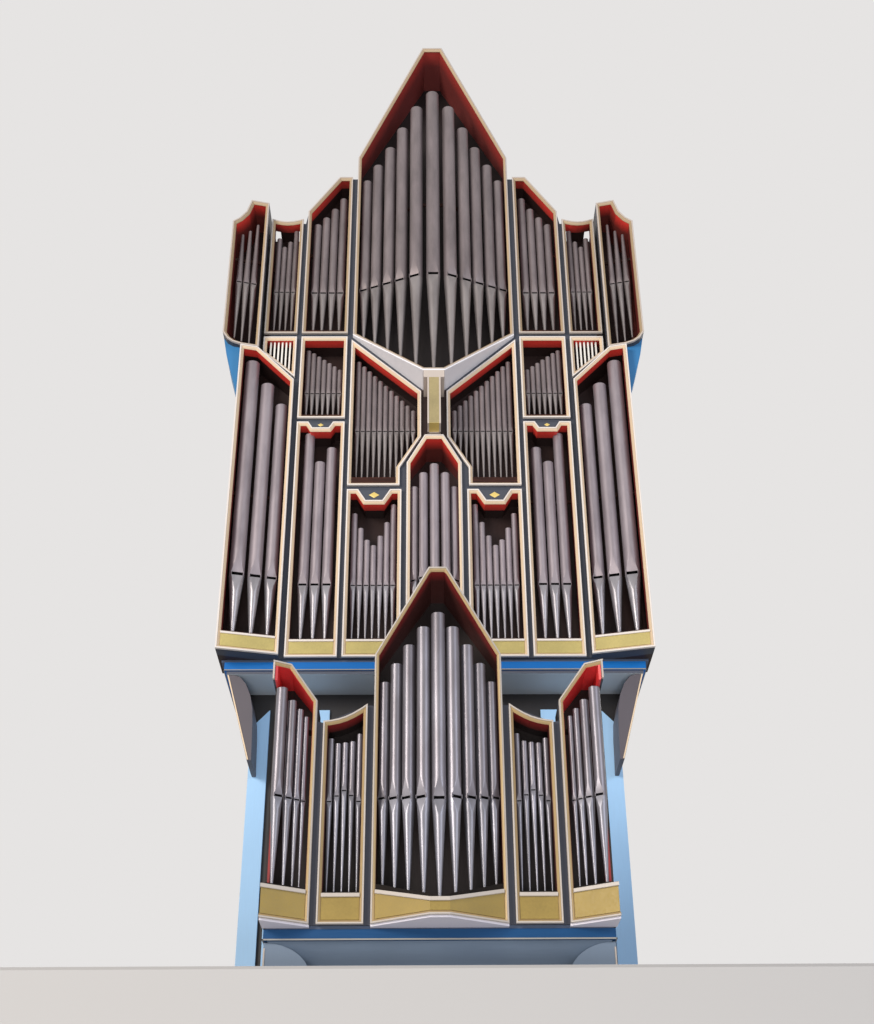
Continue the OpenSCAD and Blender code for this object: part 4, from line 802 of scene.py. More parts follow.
@dataclass(frozen=True)
class Plan:
    """The driving sizes of both cases in millimetres, the same as in the construction."""

    base_z: float = 2975
    case_half_w: float = 1715
    stile_w: float = 42
    panel_h: float = 135
    tall_x0: float = 778
    tall_h: float = 2253
    low_x0: float = 278
    low_h: float = 1557
    storey2_h: float = 3190
    hex_x: float = 112
    shoulder_low_z: float = 7690
    shoulder_top_z: float = 8140
    shoulder_flat: float = 127
    conc_w: float = 300
    conc_top_z: float = 7592
    mid_nose: float = 80
    mid_proj: float = 110
    mid_low_h: float = 1825
    mid_h: float = 2040
    tower_half_w: float = 730
    tower_proj: float = 260
    tower_nose: float = 97
    tower_shoulder_z: float = 8400
    tower_peak_z: float = 9680
    tower_low_z: float = 6190
    keel_z: float = 5600
    edge_w: float = 13
    bevel_w: float = 19
    chair_edge_w: float = 10
    chair_bevel_w: float = 15
    frame_proud: float = 24
    bevel_step: float = 4
    lining_t: float = 14
    shell_t: float = 12
    pedal_share: float = 0.7207
    pedal_step: float = 50
    pedal_proj: float = 120
    pedal_top_z: float = 5950
    pedal_low_top_z: float = 5650
    pedal_flat: float = 150
    wing_over: float = 165
    wing_low_z: float = 6075
    wing_shoulder_z: float = 7400
    wing_top_z: float = 7700
    pipe_back: float = 100
    low_mouth_h: float = 692
    small_mouth_h: float = 317
    top_mouth_z: float = 6745
    hex_mouth_z: float = 5178
    chair_gap: float = 2250
    chair_base_z: float = 290
    chair_half_w: float = 385
    chair_proj: float = 190
    chair_nose: float = 55
    chair_shoulder_z: float = 1925
    chair_peak_z: float = 2430
    chair_wide: float = 985
    chair_wing_proj: float = 150
    chair_flat_x1: float = 685
    chair_flat_h: float = 1200
    chair_flat_rise: float = 110
    chair_wing_low_z: float = 1620
    chair_wing_top_z: float = 1820
    chair_mouth_z: float = 1003
    chair_panel_h: float = 165
    band_in: float = 25
    plinth_h: float = 20
    band_h: float = 70
    bracket_toe: float = 1443
    jamb_x: tuple[float, float] = (475, 732)
    jamb_y: float = 310
    jamb_z: tuple[float, float] = (790, 1130)

    @property
    def pedal_x(self) -> float:
        """Inner edge of the pedal towers."""
        return self.case_half_w * self.pedal_share

    @property
    def field_in(self) -> float:
        """Width of a whole frame moulding."""
        return self.edge_w + self.bevel_w

    @property
    def toe_in(self) -> float:
        """Distance from a field's outline to the inside of its lining."""
        return self.shell_t + self.lining_t

    @property
    def tall_x1(self) -> float:
        """Outer edge of the tall flat fields."""
        return self.pedal_x - self.stile_w

    @property
    def low_x1(self) -> float:
        """Outer edge of the low flat fields."""
        return self.tall_x0 - self.stile_w + 4

    @property
    def tall_top(self) -> float:
        """Height of the tall flat fields' top."""
        return self.base_z + self.tall_h

    @property
    def low_top(self) -> float:
        """Height of the low flat fields' top."""
        return self.base_z + self.low_h

    @property
    def row2_z(self) -> tuple[float, float]:
        """Bottom and top of the second storey's fields."""
        return (self.tall_top + self.stile_w, self.base_z + self.storey2_h)

    @property
    def row3_z0(self) -> float:
        """Bottom of the third storey's fields."""
        return self.row2_z[1] + self.stile_w

    @property
    def conc_x1(self) -> float:
        """Outer edge of the hollow-topped fields."""
        return self.pedal_x + self.conc_w

    @property
    def mid_hw(self) -> float:
        """Half width of the middle field."""
        return self.low_x0 - self.stile_w

    @property
    def mid_top(self) -> float:
        """Height of the middle field's peak."""
        return self.base_z + self.mid_h

    @property
    def mid_shoulder_z(self) -> float:
        """Height of the middle field's shoulders."""
        return self.base_z + self.mid_low_h

    @property
    def hex_low_x(self) -> float:
        """Inner end of the six-sided fields' level foot."""
        return self.low_x0 + 17

    @property
    def hex_low_z(self) -> float:
        """Height at which their slanted lower edge leaves that end."""
        return self.mid_shoulder_z - 45

    @property
    def hex_foot_z(self) -> float:
        """Height of that edge at their inner side."""
        return self.mid_top + 55

    @property
    def hex_inner_z(self) -> float:
        """Height of their slanted top at the inner side."""
        return self.keel_z - 45

    @property
    def hex_outer_z(self) -> float:
        """Height of their slanted top at the outer side."""
        return self.tower_low_z - 60

    @property
    def low_toe(self) -> float:
        """Height of the lower fields' toe boards."""
        return self.base_z + self.panel_h + self.edge_w + 20

    @property
    def row_toe(self) -> float:
        """Height of an upper storey's toe board above the field's outline."""
        return self.toe_in + 20

    @property
    def chair_y(self) -> float:
        """Front plane of the chair case."""
        return -self.chair_gap

    @property
    def chair_flat_x0(self) -> float:
        """Inner edge of the chair case's flat fields."""
        return self.chair_half_w + 38

    @property
    def chair_wing_x0(self) -> float:
        """Inner edge of the chair case's wings."""
        return self.chair_flat_x1 + 39

    @property
    def chair_flat_top(self) -> float:
        """Height of the chair flats' outer top corner."""
        return self.chair_base_z + self.chair_flat_h

    @property
    def chair_flat_peak(self) -> float:
        """Height of the chair flats' inner top corner."""
        return self.chair_flat_top + self.chair_flat_rise

    @property
    def wing_x(self) -> tuple[float, float]:
        """Inner and outer edge of the upper wings."""
        return (self.conc_x1 + 26, self.case_half_w + self.wing_over)

    def notched(self, x0: float, x1: float, z1: float, notch: Point) -> tuple[Point, ...]:
        """Work out a flat field whose top has a notch in its middle.

        Args:
            x0: left edge of the field.
            x1: its right edge.
            z1: its top.
            notch: width and height of the notch.

        Returns:
            The field's outline.
        """
        m = (x0 + x1) / 2
        w, h = notch
        cut = w / 2 - h * 0.6
        return ((x0, self.base_z), (x1, self.base_z), (x1, z1), (m + w / 2, z1),
                (m + cut, z1 - h), (m - cut, z1 - h), (m - w / 2, z1), (x0, z1))


PLAN = Plan()
TALL_NOTCH = (215.0, 62.0)
LOW_NOTCH = (270.0, 108.0)


@dataclass(frozen=True)
class FieldShape:
    """A framed field: its outline, its front and how it is drawn.

    Attributes:
        name: short name of the field.
        outline: closed outline in x and z, anticlockwise seen from the front.
        front: its front in plan.
        node: construction node that holds its frame.
        both: whether a mirrored copy stands on the other side.
        opened: whether the frame has no side between its last point and its first.
    """

    name: str
    outline: tuple[Point, ...]
    front: Front
    node: str
    both: bool = True
    opened: bool = False


def field_shapes(p: Plan) -> list[FieldShape]:
    """Work out every framed field of both cases.

    Args:
        p: the driving sizes.

    Returns:
        The fields, right-hand side or middle.
    """
    flat = Front.flat(0.0)
    cy, ch_z, hood_z = p.chair_y, p.chair_base_z, p.chair_wing_top_z
    chair_flat = Front.flat(cy)
    lean = p.pedal_proj / (p.case_half_w - p.pedal_x)
    pedal = Front(((p.pedal_x, -p.pedal_step),
                   (p.case_half_w, -p.pedal_step - p.pedal_proj)))
    wx0, wx1 = p.wing_x
    wing = Front(tuple((x, -(x - p.pedal_x) * lean - 20) for x in (wx0, wx1)))
    chair_wing = Front(((p.chair_wing_x0, cy), (p.chair_wide, cy - p.chair_wing_proj)))
    (row2_z0, row2_z1), row3 = p.row2_z, p.row3_z0
    top = p.pedal_top_z
    shapes = [
        FieldShape("tall", p.notched(p.tall_x0, p.tall_x1, p.tall_top, TALL_NOTCH), flat,
                   "lower_frames"),
        FieldShape("low", p.notched(p.low_x0, p.low_x1, p.low_top, LOW_NOTCH), flat,
                   "lower_frames"),
        FieldShape("pedal", ((p.pedal_x, p.base_z), (p.case_half_w, p.base_z),
                             (p.case_half_w, top), (p.case_half_w - p.pedal_flat, top),
                             (p.pedal_x, p.pedal_low_top_z)), pedal, "lower_frames"),
        FieldShape("middle", both_sides([
            (p.mid_hw, p.base_z), (p.mid_hw, p.mid_shoulder_z), (p.mid_nose, p.mid_top)]),
            Front.prow(p.mid_hw, p.mid_nose, 0.0, p.mid_proj), "lower_frames", both=False),
        FieldShape("small", ((p.tall_x0, row2_z0), (p.tall_x1, row2_z0), (p.tall_x1, row2_z1),
                             (p.tall_x0, row2_z1)), flat, "middle_frames"),
        FieldShape("grille", ((p.pedal_x, p.pedal_low_top_z + 60), (p.conc_x1, top + 40),
                              (p.conc_x1, row2_z1), (p.pedal_x, row2_z1)), flat,
                   "middle_frames"),
        FieldShape("six_sided", (
            (p.hex_low_x, p.low_top + p.stile_w), (p.low_x1, p.low_top + p.stile_w),
            (p.low_x1, p.hex_outer_z), (p.hex_x, p.hex_inner_z), (p.hex_x, p.hex_foot_z),
            (p.hex_low_x, p.hex_low_z)), flat, "middle_frames"),
        FieldShape("shoulder", (
            (p.tall_x0, row3), (p.tall_x1, row3), (p.tall_x1, p.shoulder_low_z),
            (p.tall_x0 + p.shoulder_flat, p.shoulder_top_z), (p.tall_x0, p.shoulder_top_z)),
            flat, "upper_frames"),
        FieldShape("hollow_top", (
            (p.pedal_x, row3), (p.conc_x1, row3),
            *hollow((p.conc_x1, p.conc_top_z), (p.pedal_x, p.conc_top_z), 34)),
            flat, "upper_frames"),
        FieldShape("upper_wing", (
            (wx0, top + 24), (wx1 - 165, top + 24), (wx1 - 90, top + 40), (wx1 - 40, top + 72),
            (wx1, p.wing_low_z + 8), (wx1, p.wing_shoulder_z),
            (wx1 - 60, p.wing_shoulder_z + 60), (wx1 - 115, p.wing_shoulder_z + 150),
            (wx1 - 155, p.wing_top_z), (wx0, p.wing_top_z)), wing, "upper_frames"),
        FieldShape("tower", both_sides([
            (p.tower_nose, p.keel_z), (p.tower_half_w, p.tower_low_z),
            (p.tower_half_w, p.tower_shoulder_z), (p.tower_nose, p.tower_peak_z)]),
            Front.prow(p.tower_half_w, p.tower_nose, 0.0, p.tower_proj), "tower_frame",
            both=False),
        FieldShape("chair_tower", both_sides([
            (p.chair_half_w, ch_z), (p.chair_half_w, p.chair_shoulder_z),
            (p.chair_nose, p.chair_peak_z)]),
            Front.prow(p.chair_half_w, p.chair_nose, cy, p.chair_proj), "chair_tower_frame",
            both=False),
        FieldShape("chair_flat", (
            (p.chair_flat_x0, ch_z), (p.chair_flat_x1, ch_z),
            *hollow((p.chair_flat_x1, p.chair_flat_top), (p.chair_flat_x0, p.chair_flat_peak),
                    26)), chair_flat, "chair_side_frames"),
        FieldShape("chair_wing", (
            (p.chair_wide, hood_z), (p.chair_wide - 105, hood_z),
            (p.chair_wing_x0, p.chair_wing_low_z), (p.chair_wing_x0, ch_z),
            (p.chair_wide, ch_z)), chair_wing, "chair_side_frames", opened=True),
    ]
    return shapes


SHAPES = {shape.name: shape for shape in field_shapes(PLAN)}


# Mesh helpers


def new_object(name: str, bm: Bmesh, materials: Sequence[Material],
               smooth_deg: float = 0.0) -> bpy.types.Object:
    """Put a bmesh in millimetres into the scene as an object in metres.

    Args:
        name: name of the piece and its mesh.
        bm: the bmesh, which is freed.
        materials: its materials in slot order.
        smooth_deg: edges flatter than this are shaded smooth; 0 keeps all flat.

    Returns:
        The object.
    """
    bmesh.ops.remove_doubles(bm, verts=bm.verts, dist=0.01)
    bmesh.ops.recalc_face_normals(bm, faces=bm.faces)
    bm.transform(Matrix.Scale(MM, 4))
    if smooth_deg:
        limit = math.radians(smooth_deg)
        for face in bm.faces:
            face.smooth = True
        for edge in bm.edges:
            edge.smooth = edge.is_manifold and edge.calc_face_angle(0.0) < limit
    mesh = bpy.data.meshes.new(name)
    bm.to_mesh(mesh)
    bm.free()
    for material in materials:
        mesh.materials.append(material)
    piece = bpy.data.objects.new(name, mesh)
    bpy.context.scene.collection.objects.link(piece)
    return piece


def add_piece(name: str, bm: Bmesh, materials: Sequence[Material],
              replaced: str = "", smooth_deg: float = 0.0) -> None:
    """Add a piece that rides on the organ.

    Args:
        name: name of the piece.
        bm: its bmesh in millimetres.
        materials: its materials in slot order.
        replaced: construction node that it stands for, if any.
        smooth_deg: edges flatter than this are shaded smooth.
    """
    piece = new_object(name, bm, materials, smooth_deg)
    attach(piece, ROOT)
    if replaced:
        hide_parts(replaced)
    LOG.info("%s: %d faces", piece.name, len(piece.data.polygons))


def add_prism(bm: Bmesh, rings: Sequence[Sequence[Sequence[float]]], material: int = 0) -> None:
    """Add a closed solid between rings of points that have the same count.

    Args:
        bm: bmesh that gets the solid.
        rings: rings of 3-D points, in order along the solid.
        material: material slot of its faces.
    """
    verts = [[bm.verts.new(p) for p in ring] for ring in rings]
    count = len(verts[0])
    faces = [bm.faces.new(list(reversed(verts[0]))), bm.faces.new(verts[-1])]
    for low, high in zip(verts, verts[1:]):
        for i in range(count):
            j = (i + 1) % count
            faces.append(bm.faces.new((low[i], low[j], high[j], high[i])))
    for face in faces:
        face.material_index = material


def add_box(bm: Bmesh, low: Sequence[float], high: Sequence[float], material: int = 0,
            chamfer: float = 0.0) -> None:
    """Add a box, with its four edges along X rounded off by a chamfer.

    Args:
        bm: bmesh that gets the box.
        low: lowest corner in millimetres.
        high: highest corner in millimetres.
        material: material slot of its faces.
        chamfer: width of the chamfer.
    """
    c = chamfer
    y0, y1, z0, z1 = low[1], high[1], low[2], high[2]
    section = [(y0 + c, z0), (y1 - c, z0), (y1, z0 + c), (y1, z1 - c), (y1 - c, z1),
               (y0 + c, z1), (y0, z1 - c), (y0, z0 + c)] if c else \
        [(y0, z0), (y1, z0), (y1, z1), (y0, z1)]
    add_prism(bm, [[(x, y, z) for y, z in section] for x in (low[0], high[0])], material)


def add_turned(bm: Bmesh, profile: Sequence[Point], place: Matrix, material: int = 0,
               steps: int = 16) -> None:
    """Add a turned solid.

    Args:
        bm: bmesh that gets the solid.
        profile: radius and distance along the axis, from one end to the other.
        place: turns the local Z axis to where the solid stands.
        material: material slot of its faces.
        steps: faces round the axis.
    """
    rings = []
    for radius, along in profile:
        rings.append([place @ Vector((radius * math.cos(2 * math.pi * k / steps),
                                      radius * math.sin(2 * math.pi * k / steps), along))
                      for k in range(steps)])
    add_prism(bm, rings, material)


# Frames


@dataclass
class CaseFrames:
    """Mitred mouldings round every field: a white edging and a cream bevel inside it.

    Attributes:
        plan: driving sizes.
        paints: the organ's materials.
        quirk: depth of the groove between the edging and the bevel.
        round_over: rounding of the edging's corners.
        main_rail: height of the rails over the main case's gilt panels.
        chair_rail: height of the rails over the chair case's gilt panels.
        chair_dip: how far the chair tower's rail drops towards its nose.
    """

    plan: Plan
    paints: Palette
    quirk: float = 3.0
    round_over: float = 2.0
    main_rail: float = 18.0
    chair_rail: float = 22.0
    chair_dip: float = 90.0

    def profile(self, chair: bool) -> list[tuple[float, float, int]]:
        """Work out the moulding's section.

        Args:
            chair: whether it is the chair case's narrower moulding.

        Returns:
            Points as inset, distance in front of the case, and the material of the face that
            starts there: 0 white, 1 cream.
        """
        p = self.plan
        r = self.round_over
        edge, bevel = (p.chair_edge_w, p.chair_bevel_w) if chair else (p.edge_w, p.bevel_w)
        total, proud = edge + bevel, p.frame_proud
        step = proud - p.bevel_step
        points = [(0.0, -2.0, 0), (0.0, proud - r, 0), (r * 0.4, proud - r * 0.3, 0),
                  (r, proud, 0), (edge - r, proud, 0), (edge - r * 0.4, proud - r * 0.3, 0),
                  (edge, proud - r, 0), (edge, step - self.quirk, 1)]
        rise = 5
        for k in range(rise + 1):
            t = k / rise
            inset = edge + 1.5 + (total - edge - 1.5) * t
            bulge = 1.6 * math.sin(math.pi * t)
            points.append((inset, step - (step - 1.0) * t + bulge, 1))
        points.append((total, -2.0, 1))
        return points

    def sweep(self, bm: Bmesh, path: Sequence[Point], front: Front, closed: bool,
              chair: bool) -> None:
        """Sweep the moulding round an outline with mitred corners.

        Args:
            bm: bmesh that gets the moulding.
            path: outline in x and z, anticlockwise.
            front: front in plan that the moulding lies on.
            closed: whether the last point joins the first.
            chair: whether it is the chair case's narrower moulding.
        """
        profile = self.profile(chair)
        count = len(path)
        rows = []
        for i, b in enumerate(path):
            a = path[i - 1] if closed or i > 0 else None
            c = path[(i + 1) % count] if closed or i < count - 1 else None
            if a is None:
                a = (2 * b[0] - c[0], 2 * b[1] - c[1])
            if c is None:
                c = (2 * b[0] - a[0], 2 * b[1] - a[1])
            ring = []
            for inset, proud, _ in profile:
                x, z = offset_corner(a, b, c, inset)
                ring.append(bm.verts.new((x, front.y(x) - proud, z)))
            rows.append(ring)
        last = count if closed else count - 1
        for i in range(last):
            low, high = rows[i], rows[(i + 1) % count]
            for k in range(len(profile) - 1):
                face = bm.faces.new((low[k], high[k], high[k + 1], low[k + 1]))
                face.material_index = profile[k][2]
        if not closed:
            for ring in (rows[0], rows[-1]):
                bm.faces.new(ring)

    def end_board(self, bm: Bmesh, front: Front) -> None:
        """Add the white edge of the short board that closes a chair wing's hood.

        Args:
            bm: bmesh that gets the edge.
            front: the wing's front in plan.
        """
        p = self.plan
        side = 1 if front.points[-1][0] > 0 else -1
        outer, inner = side * p.chair_wide, side * (p.chair_wide - p.chair_edge_w)
        x0, x1 = min(outer, inner), max(outer, inner)
        y = max(front.y(x0), front.y(x1)) - p.frame_proud
        top = p.chair_wing_top_z
        add_box(bm, (x0, y, top - 120), (x1, max(front.y(x0), front.y(x1)), top - 2), 0, 2)

    def rail(self, bm: Bmesh, front: Front, points: Sequence[Point],
             width: float) -> None:
        """Add the white rail over a gilt panel.

        Args:
            bm: bmesh that gets the rail.
            front: front in plan that the rail lies on.
            points: lower edge of the rail in x and z, from left to right.
            width: height of the rail's face.
        """
        p = self.plan
        proud = p.frame_proud - p.bevel_step
        rings = []
        for x, z in points:
            y = front.y(x)
            rings.append([(x, y, z), (x, y - proud + 2, z), (x, y - proud, z + 2),
                          (x, y - proud, z + width - 2), (x, y - proud + 2, z + width),
                          (x, y, z + width)])
        add_prism(bm, rings)

    def rails(self) -> dict[str, list[tuple[Front, Outline, bool]]]:
        """List the rails over the gilt panels.

        Returns:
            For each frame node, the rails as front, lower edge and whether mirrored.
        """
        p = self.plan
        z, ch_z = p.base_z + p.panel_h, p.chair_base_z + p.chair_panel_h
        chair_in = p.chair_edge_w + p.chair_bevel_w - 2

        def level(name: str, x0: float, x1: float, height: float) -> tuple[Front, Outline, bool]:
            """Describe a level rail between two edges of a field.

            Args:
                name: name of the field.
                x0: its left edge.
                x1: its right edge.
                height: height of the rail's lower edge.

            Returns:
                The front, the rail's lower edge and whether it is mirrored.
            """
            shape = SHAPES[name]
            inner = chair_in if name.startswith("chair") else p.field_in - 2
            row = shape.front.fold([(x0 + inner, height), (x1 - inner, height)])
            crossing = [q for q in row if x0 + inner <= q[0] <= x1 - inner]
            return (shape.front, sorted(set(crossing)), shape.both)

        hw, dip = p.chair_half_w - chair_in, ch_z - self.chair_dip
        prow = [(-hw, ch_z), (-p.chair_nose, dip), (p.chair_nose, dip), (hw, ch_z)]
        return {
            "lower_frames": [
                level("tall", p.tall_x0, p.tall_x1, z),
                level("low", p.low_x0, p.low_x1, z),
                level("pedal", p.pedal_x, p.case_half_w, z),
                level("middle", -p.mid_hw, p.mid_hw, z),
            ],
            "chair_tower_frame": [(SHAPES["chair_tower"].front, prow, False)],
            "chair_side_frames": [
                level("chair_flat", p.chair_flat_x0, p.chair_flat_x1, ch_z - 15),
                level("chair_wing", p.chair_wing_x0, p.chair_wide + chair_in, ch_z),
            ],
        }

    def build(self) -> None:
        """Build one piece for each frame node."""
        rails = self.rails()
        for node in dict.fromkeys(shape.node for shape in SHAPES.values()):
            bm = bmesh.new()
            chair = node.startswith("chair")
            for shape in SHAPES.values():
                if shape.node != node:
                    continue
                path = list(shape.outline) if shape.opened else shape.front.fold(shape.outline)
                sides = [(path, shape.front)]
                if shape.both:
                    sides.append((mirrored(path), shape.front.mirrored()))
                for outline, front in sides:
                    self.sweep(bm, outline, front, not shape.opened, chair)
                    if shape.opened:
                        self.end_board(bm, front)
            for front, points, both in rails.get(node, []):
                width = self.chair_rail if chair else self.main_rail
                self.rail(bm, front, points, width)
                if both:
                    self.rail(bm, front.mirrored(), mirrored(points), width)
            # The high frames and the chair case's take darker copies as painted shade
            coats = (Coat.WHITE, Coat.CREAM)
            if node in ("tower_frame", "upper_frames"):
                coats = (Coat.TOWER_WHITE, Coat.TOWER_CREAM)
            elif chair:
                coats = (Coat.CHAIR_WHITE, Coat.CHAIR_CREAM)
            add_piece(node + "_moulding", bm, [self.paints[coat] for coat in coats],
                      node, 25)


# Pipes


@dataclass(frozen=True)
class PipeSize:
    """One pipe, in millimetres.

    Attributes:
        at: place of its tip.
        turn: angle about the vertical, in radians.
        d: diameter at the mouth.
        foot: height of the foot, up to the mouth.
        body: height from the mouth to the top.
        top_d: diameter at the top.
    """

    at: Triple
    turn: float
    d: float
    foot: float
    body: float
    top_d: float

    @staticmethod
    def standing(at: Triple, turn: float, mouth: float, top: float, d: float,
                 top_d: float = 0.0) -> "PipeSize":
        """Return a pipe from the heights of its mouth and its top."""
        return PipeSize(at, turn, d, mouth - at[2], top - mouth, top_d or d)

    def mirrored(self) -> "PipeSize":
        """Return the pipe on the other side of the symmetry plane."""
        return PipeSize((-self.at[0], *self.at[1:]), -self.turn, self.d, self.foot, self.body,
                        self.top_d)


# For each node, the pipes in the middle and the right-hand pipes that are mirrored
Ranks = dict[str, tuple[list[PipeSize], list[PipeSize]]]
# How far a straight row stands inside its field's edges, and the drops of its pipes' tops
Row = tuple[float, tuple[float, ...]]


@dataclass
class Pipework:
    """The front pipes of both cases as hollow tin pipes.

    Each has a tapered foot, a pressed lower lip, a mouth with a languid and two ears, a
    pointed upper lip, a solder seam and an open top.

    Attributes:
        plan: driving sizes.
        paints: the organ's materials.
        lip_columns: columns of faces across the mouth.
        back_columns: columns of faces round the rest of the pipe.
        mouth_half: half of the angle that the mouth takes up.
        fill: diameter of a pipe in a straight row, as a share of its pitch.
        tall_row: the tall fields' pipes: how far the row stands inside the field's edges, and
            how far each pipe ends below the field's top, from the inner side outwards.
        low_row, small_row, shoulder_row, hollow_row: the same for the other straight rows.
        hex_count: pipes in a six-sided field.
        hex_slanted: how many of them stand on its slanted foot.
        hex_inset: how far the row stands inside the field's inner and outer edge.
        hex_drop: drop below the slanted top, and how much less it is from pipe to pipe.
        middle: the middle field's pipes as share of the half width, drop below the peak, and
            diameter as a share of the half width.
        pedal, tower, chair: the same for the pedal towers, the prow and the chair tower.
        wing: the upper wings' pipes as share of the width, height of the foot above the pedal
            tower's top, and drop below the wing's top.
        wing_d: their diameters at the mouth and the top, as shares of the width.
        chair_foot: height of the chair tower's middle foot against its panel, and the rise
            from pipe to pipe.
        chair_mouth: the same for its mouths, against the case's mouths.
        chair_back: distance from the chair fronts to the tower's, flats' and wings' axes.
        chair_flat: the chair flats' pipes as lift of the mouth and drop below the inner corner.
        chair_fill: their diameter as a share of the pitch.
        chair_wing: the chair wings' pipes as share of the width, diameter as a share of the
            width, and drop below the hood.
    """

    plan: Plan
    paints: Palette
    lip_columns: int = 6
    back_columns: int = 26
    mouth_half: float = math.radians(50)
    fill: float = 0.9
    tall_row: Row = (60, (218, 363, 73))
    low_row: Row = (40, (98, 275, 406, 497, 445, 330, 188))
    small_row: Row = (40, (315, 278, 241, 204, 167, 130, 99))
    shoulder_row: Row = (48, (206, 342, 455, 543))
    hollow_row: Row = (44, (80, 216, 281, 172))
    hex_count: int = 11
    hex_slanted: int = 3
    hex_inset: Point = (45, 43)
    hex_drop: Point = (220, 9)
    middle: tuple[Triple, ...] = ((0, 251, 0.371), (0.438, 335, 0.352), (0.8, 442, 0.324))
    pedal: tuple[Triple, ...] = ((0.822, 113, 0.295), (0.49, 246, 0.272), (0.187, 326, 0.243))
    tower: tuple[Triple, ...] = ((0, 562, 0.182), (0.224, 623, 0.173), (0.419, 580, 0.162),
                                 (0.588, 557, 0.153), (0.756, 505, 0.145), (0.906, 457, 0.136))
    chair: tuple[Triple, ...] = ((0, 286, 0.234), (0.245, 323, 0.228), (0.487, 287, 0.217),
                                 (0.702, 272, 0.2), (0.897, 268, 0.178))
    wing: tuple[Triple, ...] = ((0.29, 110, 203), (0.541, 120, 295), (0.786, 150, 355))
    wing_d: Point = (0.225, 0.106)
    chair_foot: Point = (-53, 27.3)
    chair_mouth: Point = (-42, 14)
    chair_back: Triple = (75, 65, 66)
    chair_fill: float = 0.84
    chair_flat: tuple[Point, ...] = ((10, 166), (46, 214), (76, 221), (43, 226), (10, 195))
    chair_wing: tuple[Triple, ...] = ((0.176, 0.138, 290), (0.333, 0.176, 252),
                                      (0.533, 0.222, 207), (0.789, 0.284, 140))

    def angles(self, half: float) -> list[float]:
        """Spread a ring's columns, with the front ones inside the given half angle.

        Args:
            half: half angle of the lip at this height.

        Returns:
            Angles from the front, one for each column.
        """
        front = [-half + 2 * half * k / self.lip_columns for k in range(self.lip_columns + 1)]
        rest = 2 * math.pi - 2 * half
        back = [half + rest * k / self.back_columns for k in range(1, self.back_columns)]
        return front + back

    def ring(self, radius: float, z: float, half: float, pressed: float) -> list[Vector]:
        """Work out one ring of points.

        Args:
            radius: radius of the pipe here.
            z: height above the tip.
            half: half angle of the lip here.
            pressed: 1 where the lip is pressed flat, 0 where the pipe is round.

        Returns:
            The points, starting at the lip's left edge.
        """
        points = []
        flat = math.cos(half) * radius
        for angle in self.angles(half):
            x = math.sin(angle) * radius
            y = -math.cos(angle) * radius
            if abs(angle) <= half + 1e-6 and pressed:
                y += (-flat - y) * pressed
            points.append(Vector((x, y, z)))
        return points

    def skin(self, bm: Bmesh, rings: Sequence[Sequence[Vector]], hole: int, place: Matrix,
             material: int, inward: bool = False, foot: int | None = None) -> list[list]:
        """Join rings into a skin and leave the mouth open.

        Args:
            bm: bmesh that gets the skin.
            rings: rings of points from below upwards.
            hole: number of the ring below the mouth, or -1.
            place: where the pipe stands.
            material: material slot of the faces.
            inward: whether the faces look inwards.
            foot: material slot of the faces below the mouth, if it differs.

        Returns:
            The vertices of each ring.
        """
        rows = [[bm.verts.new(place @ p) for p in ring] for ring in rings]
        count = len(rows[0])
        for r in range(len(rows) - 1):
            for i in range(count):
                if r == hole and i < self.lip_columns:
                    continue
                j = (i + 1) % count
                quad = [rows[r][i], rows[r][j], rows[r + 1][j], rows[r + 1][i]]
                face = bm.faces.new(reversed(quad) if inward else quad)
                face.material_index = material if foot is None or r >= hole else foot
        return rows

    def add_pipe(self, bm: Bmesh, size: PipeSize) -> None:
        """Add one pipe.

        Args:
            bm: bmesh that gets the pipe.
            size: its sizes and place.
        """
        r = size.d / 2
        top_r = size.top_d / 2
        wall = max(1.2, size.d * 0.014)
        cut = size.d * 0.2
        tip_r = size.d * 0.11
        low_lip = size.d * 1.15
        high_lip = size.d * 1.4
        total = size.foot + size.body
        half = self.mouth_half
        tiny = math.radians(1.0)

        def at(z: float) -> float:
            """Return the pipe's radius at a height."""
            if z < size.foot:
                return tip_r + (r - tip_r) * z / size.foot
            return r + (top_r - r) * (z - size.foot) / size.body

        outer = [self.ring(tip_r, 0.0, tiny, 0.0)]
        for k in range(5):
            t = k / 4
            z = size.foot - low_lip * (1 - t) - size.d * 0.012
            outer.append(self.ring(at(z), z, tiny + (half - tiny) * t ** 0.8, 1.0))
        mouth_row = len(outer) - 1
        for k in range(7):
            t = k / 6
            z = size.foot + cut + high_lip * t
            outer.append(self.ring(at(z), z, half + (tiny - half) * t, 1.0))
        middle = (size.foot + cut + high_lip + total) / 2
        outer.append(self.ring(at(middle), middle, tiny, 0.0))
        outer.append(self.ring(top_r, total, tiny, 0.0))
        place = Matrix.Translation(size.at) @ Matrix.Rotation(size.turn, 4, "Z")
        rows = self.skin(bm, outer, mouth_row, place, 0, foot=2)
        inner = []
        for ring in outer[mouth_row:]:
            inner.append([Vector((p.x * (1 - wall / r), p.y * (1 - wall / r), p.z))
                          for p in ring])
        lining = self.skin(bm, inner, 0, place, 1, inward=True)
        count = len(rows[0])
        for i in range(count):
            j = (i + 1) % count
            bm.faces.new((rows[-1][i], rows[-1][j], lining[-1][j], lining[-1][i]))
        for i in range(self.lip_columns):
            upper = mouth_row + 1
            bm.faces.new((rows[upper][i + 1], rows[upper][i], lining[1][i], lining[1][i + 1]))
            bm.faces.new((rows[mouth_row][i], rows[mouth_row][i + 1], lining[0][i + 1],
                          lining[0][i]))
        for i in (0, self.lip_columns):
            bm.faces.new((rows[mouth_row][i], rows[mouth_row + 1][i], lining[1][i],
                          lining[0][i]))
        for material, row in enumerate((rows[0], lining[0])):
            bm.faces.new(row).material_index = material
        self.add_ears(bm, size, cut, place)
        self.add_seam(bm, size, place)

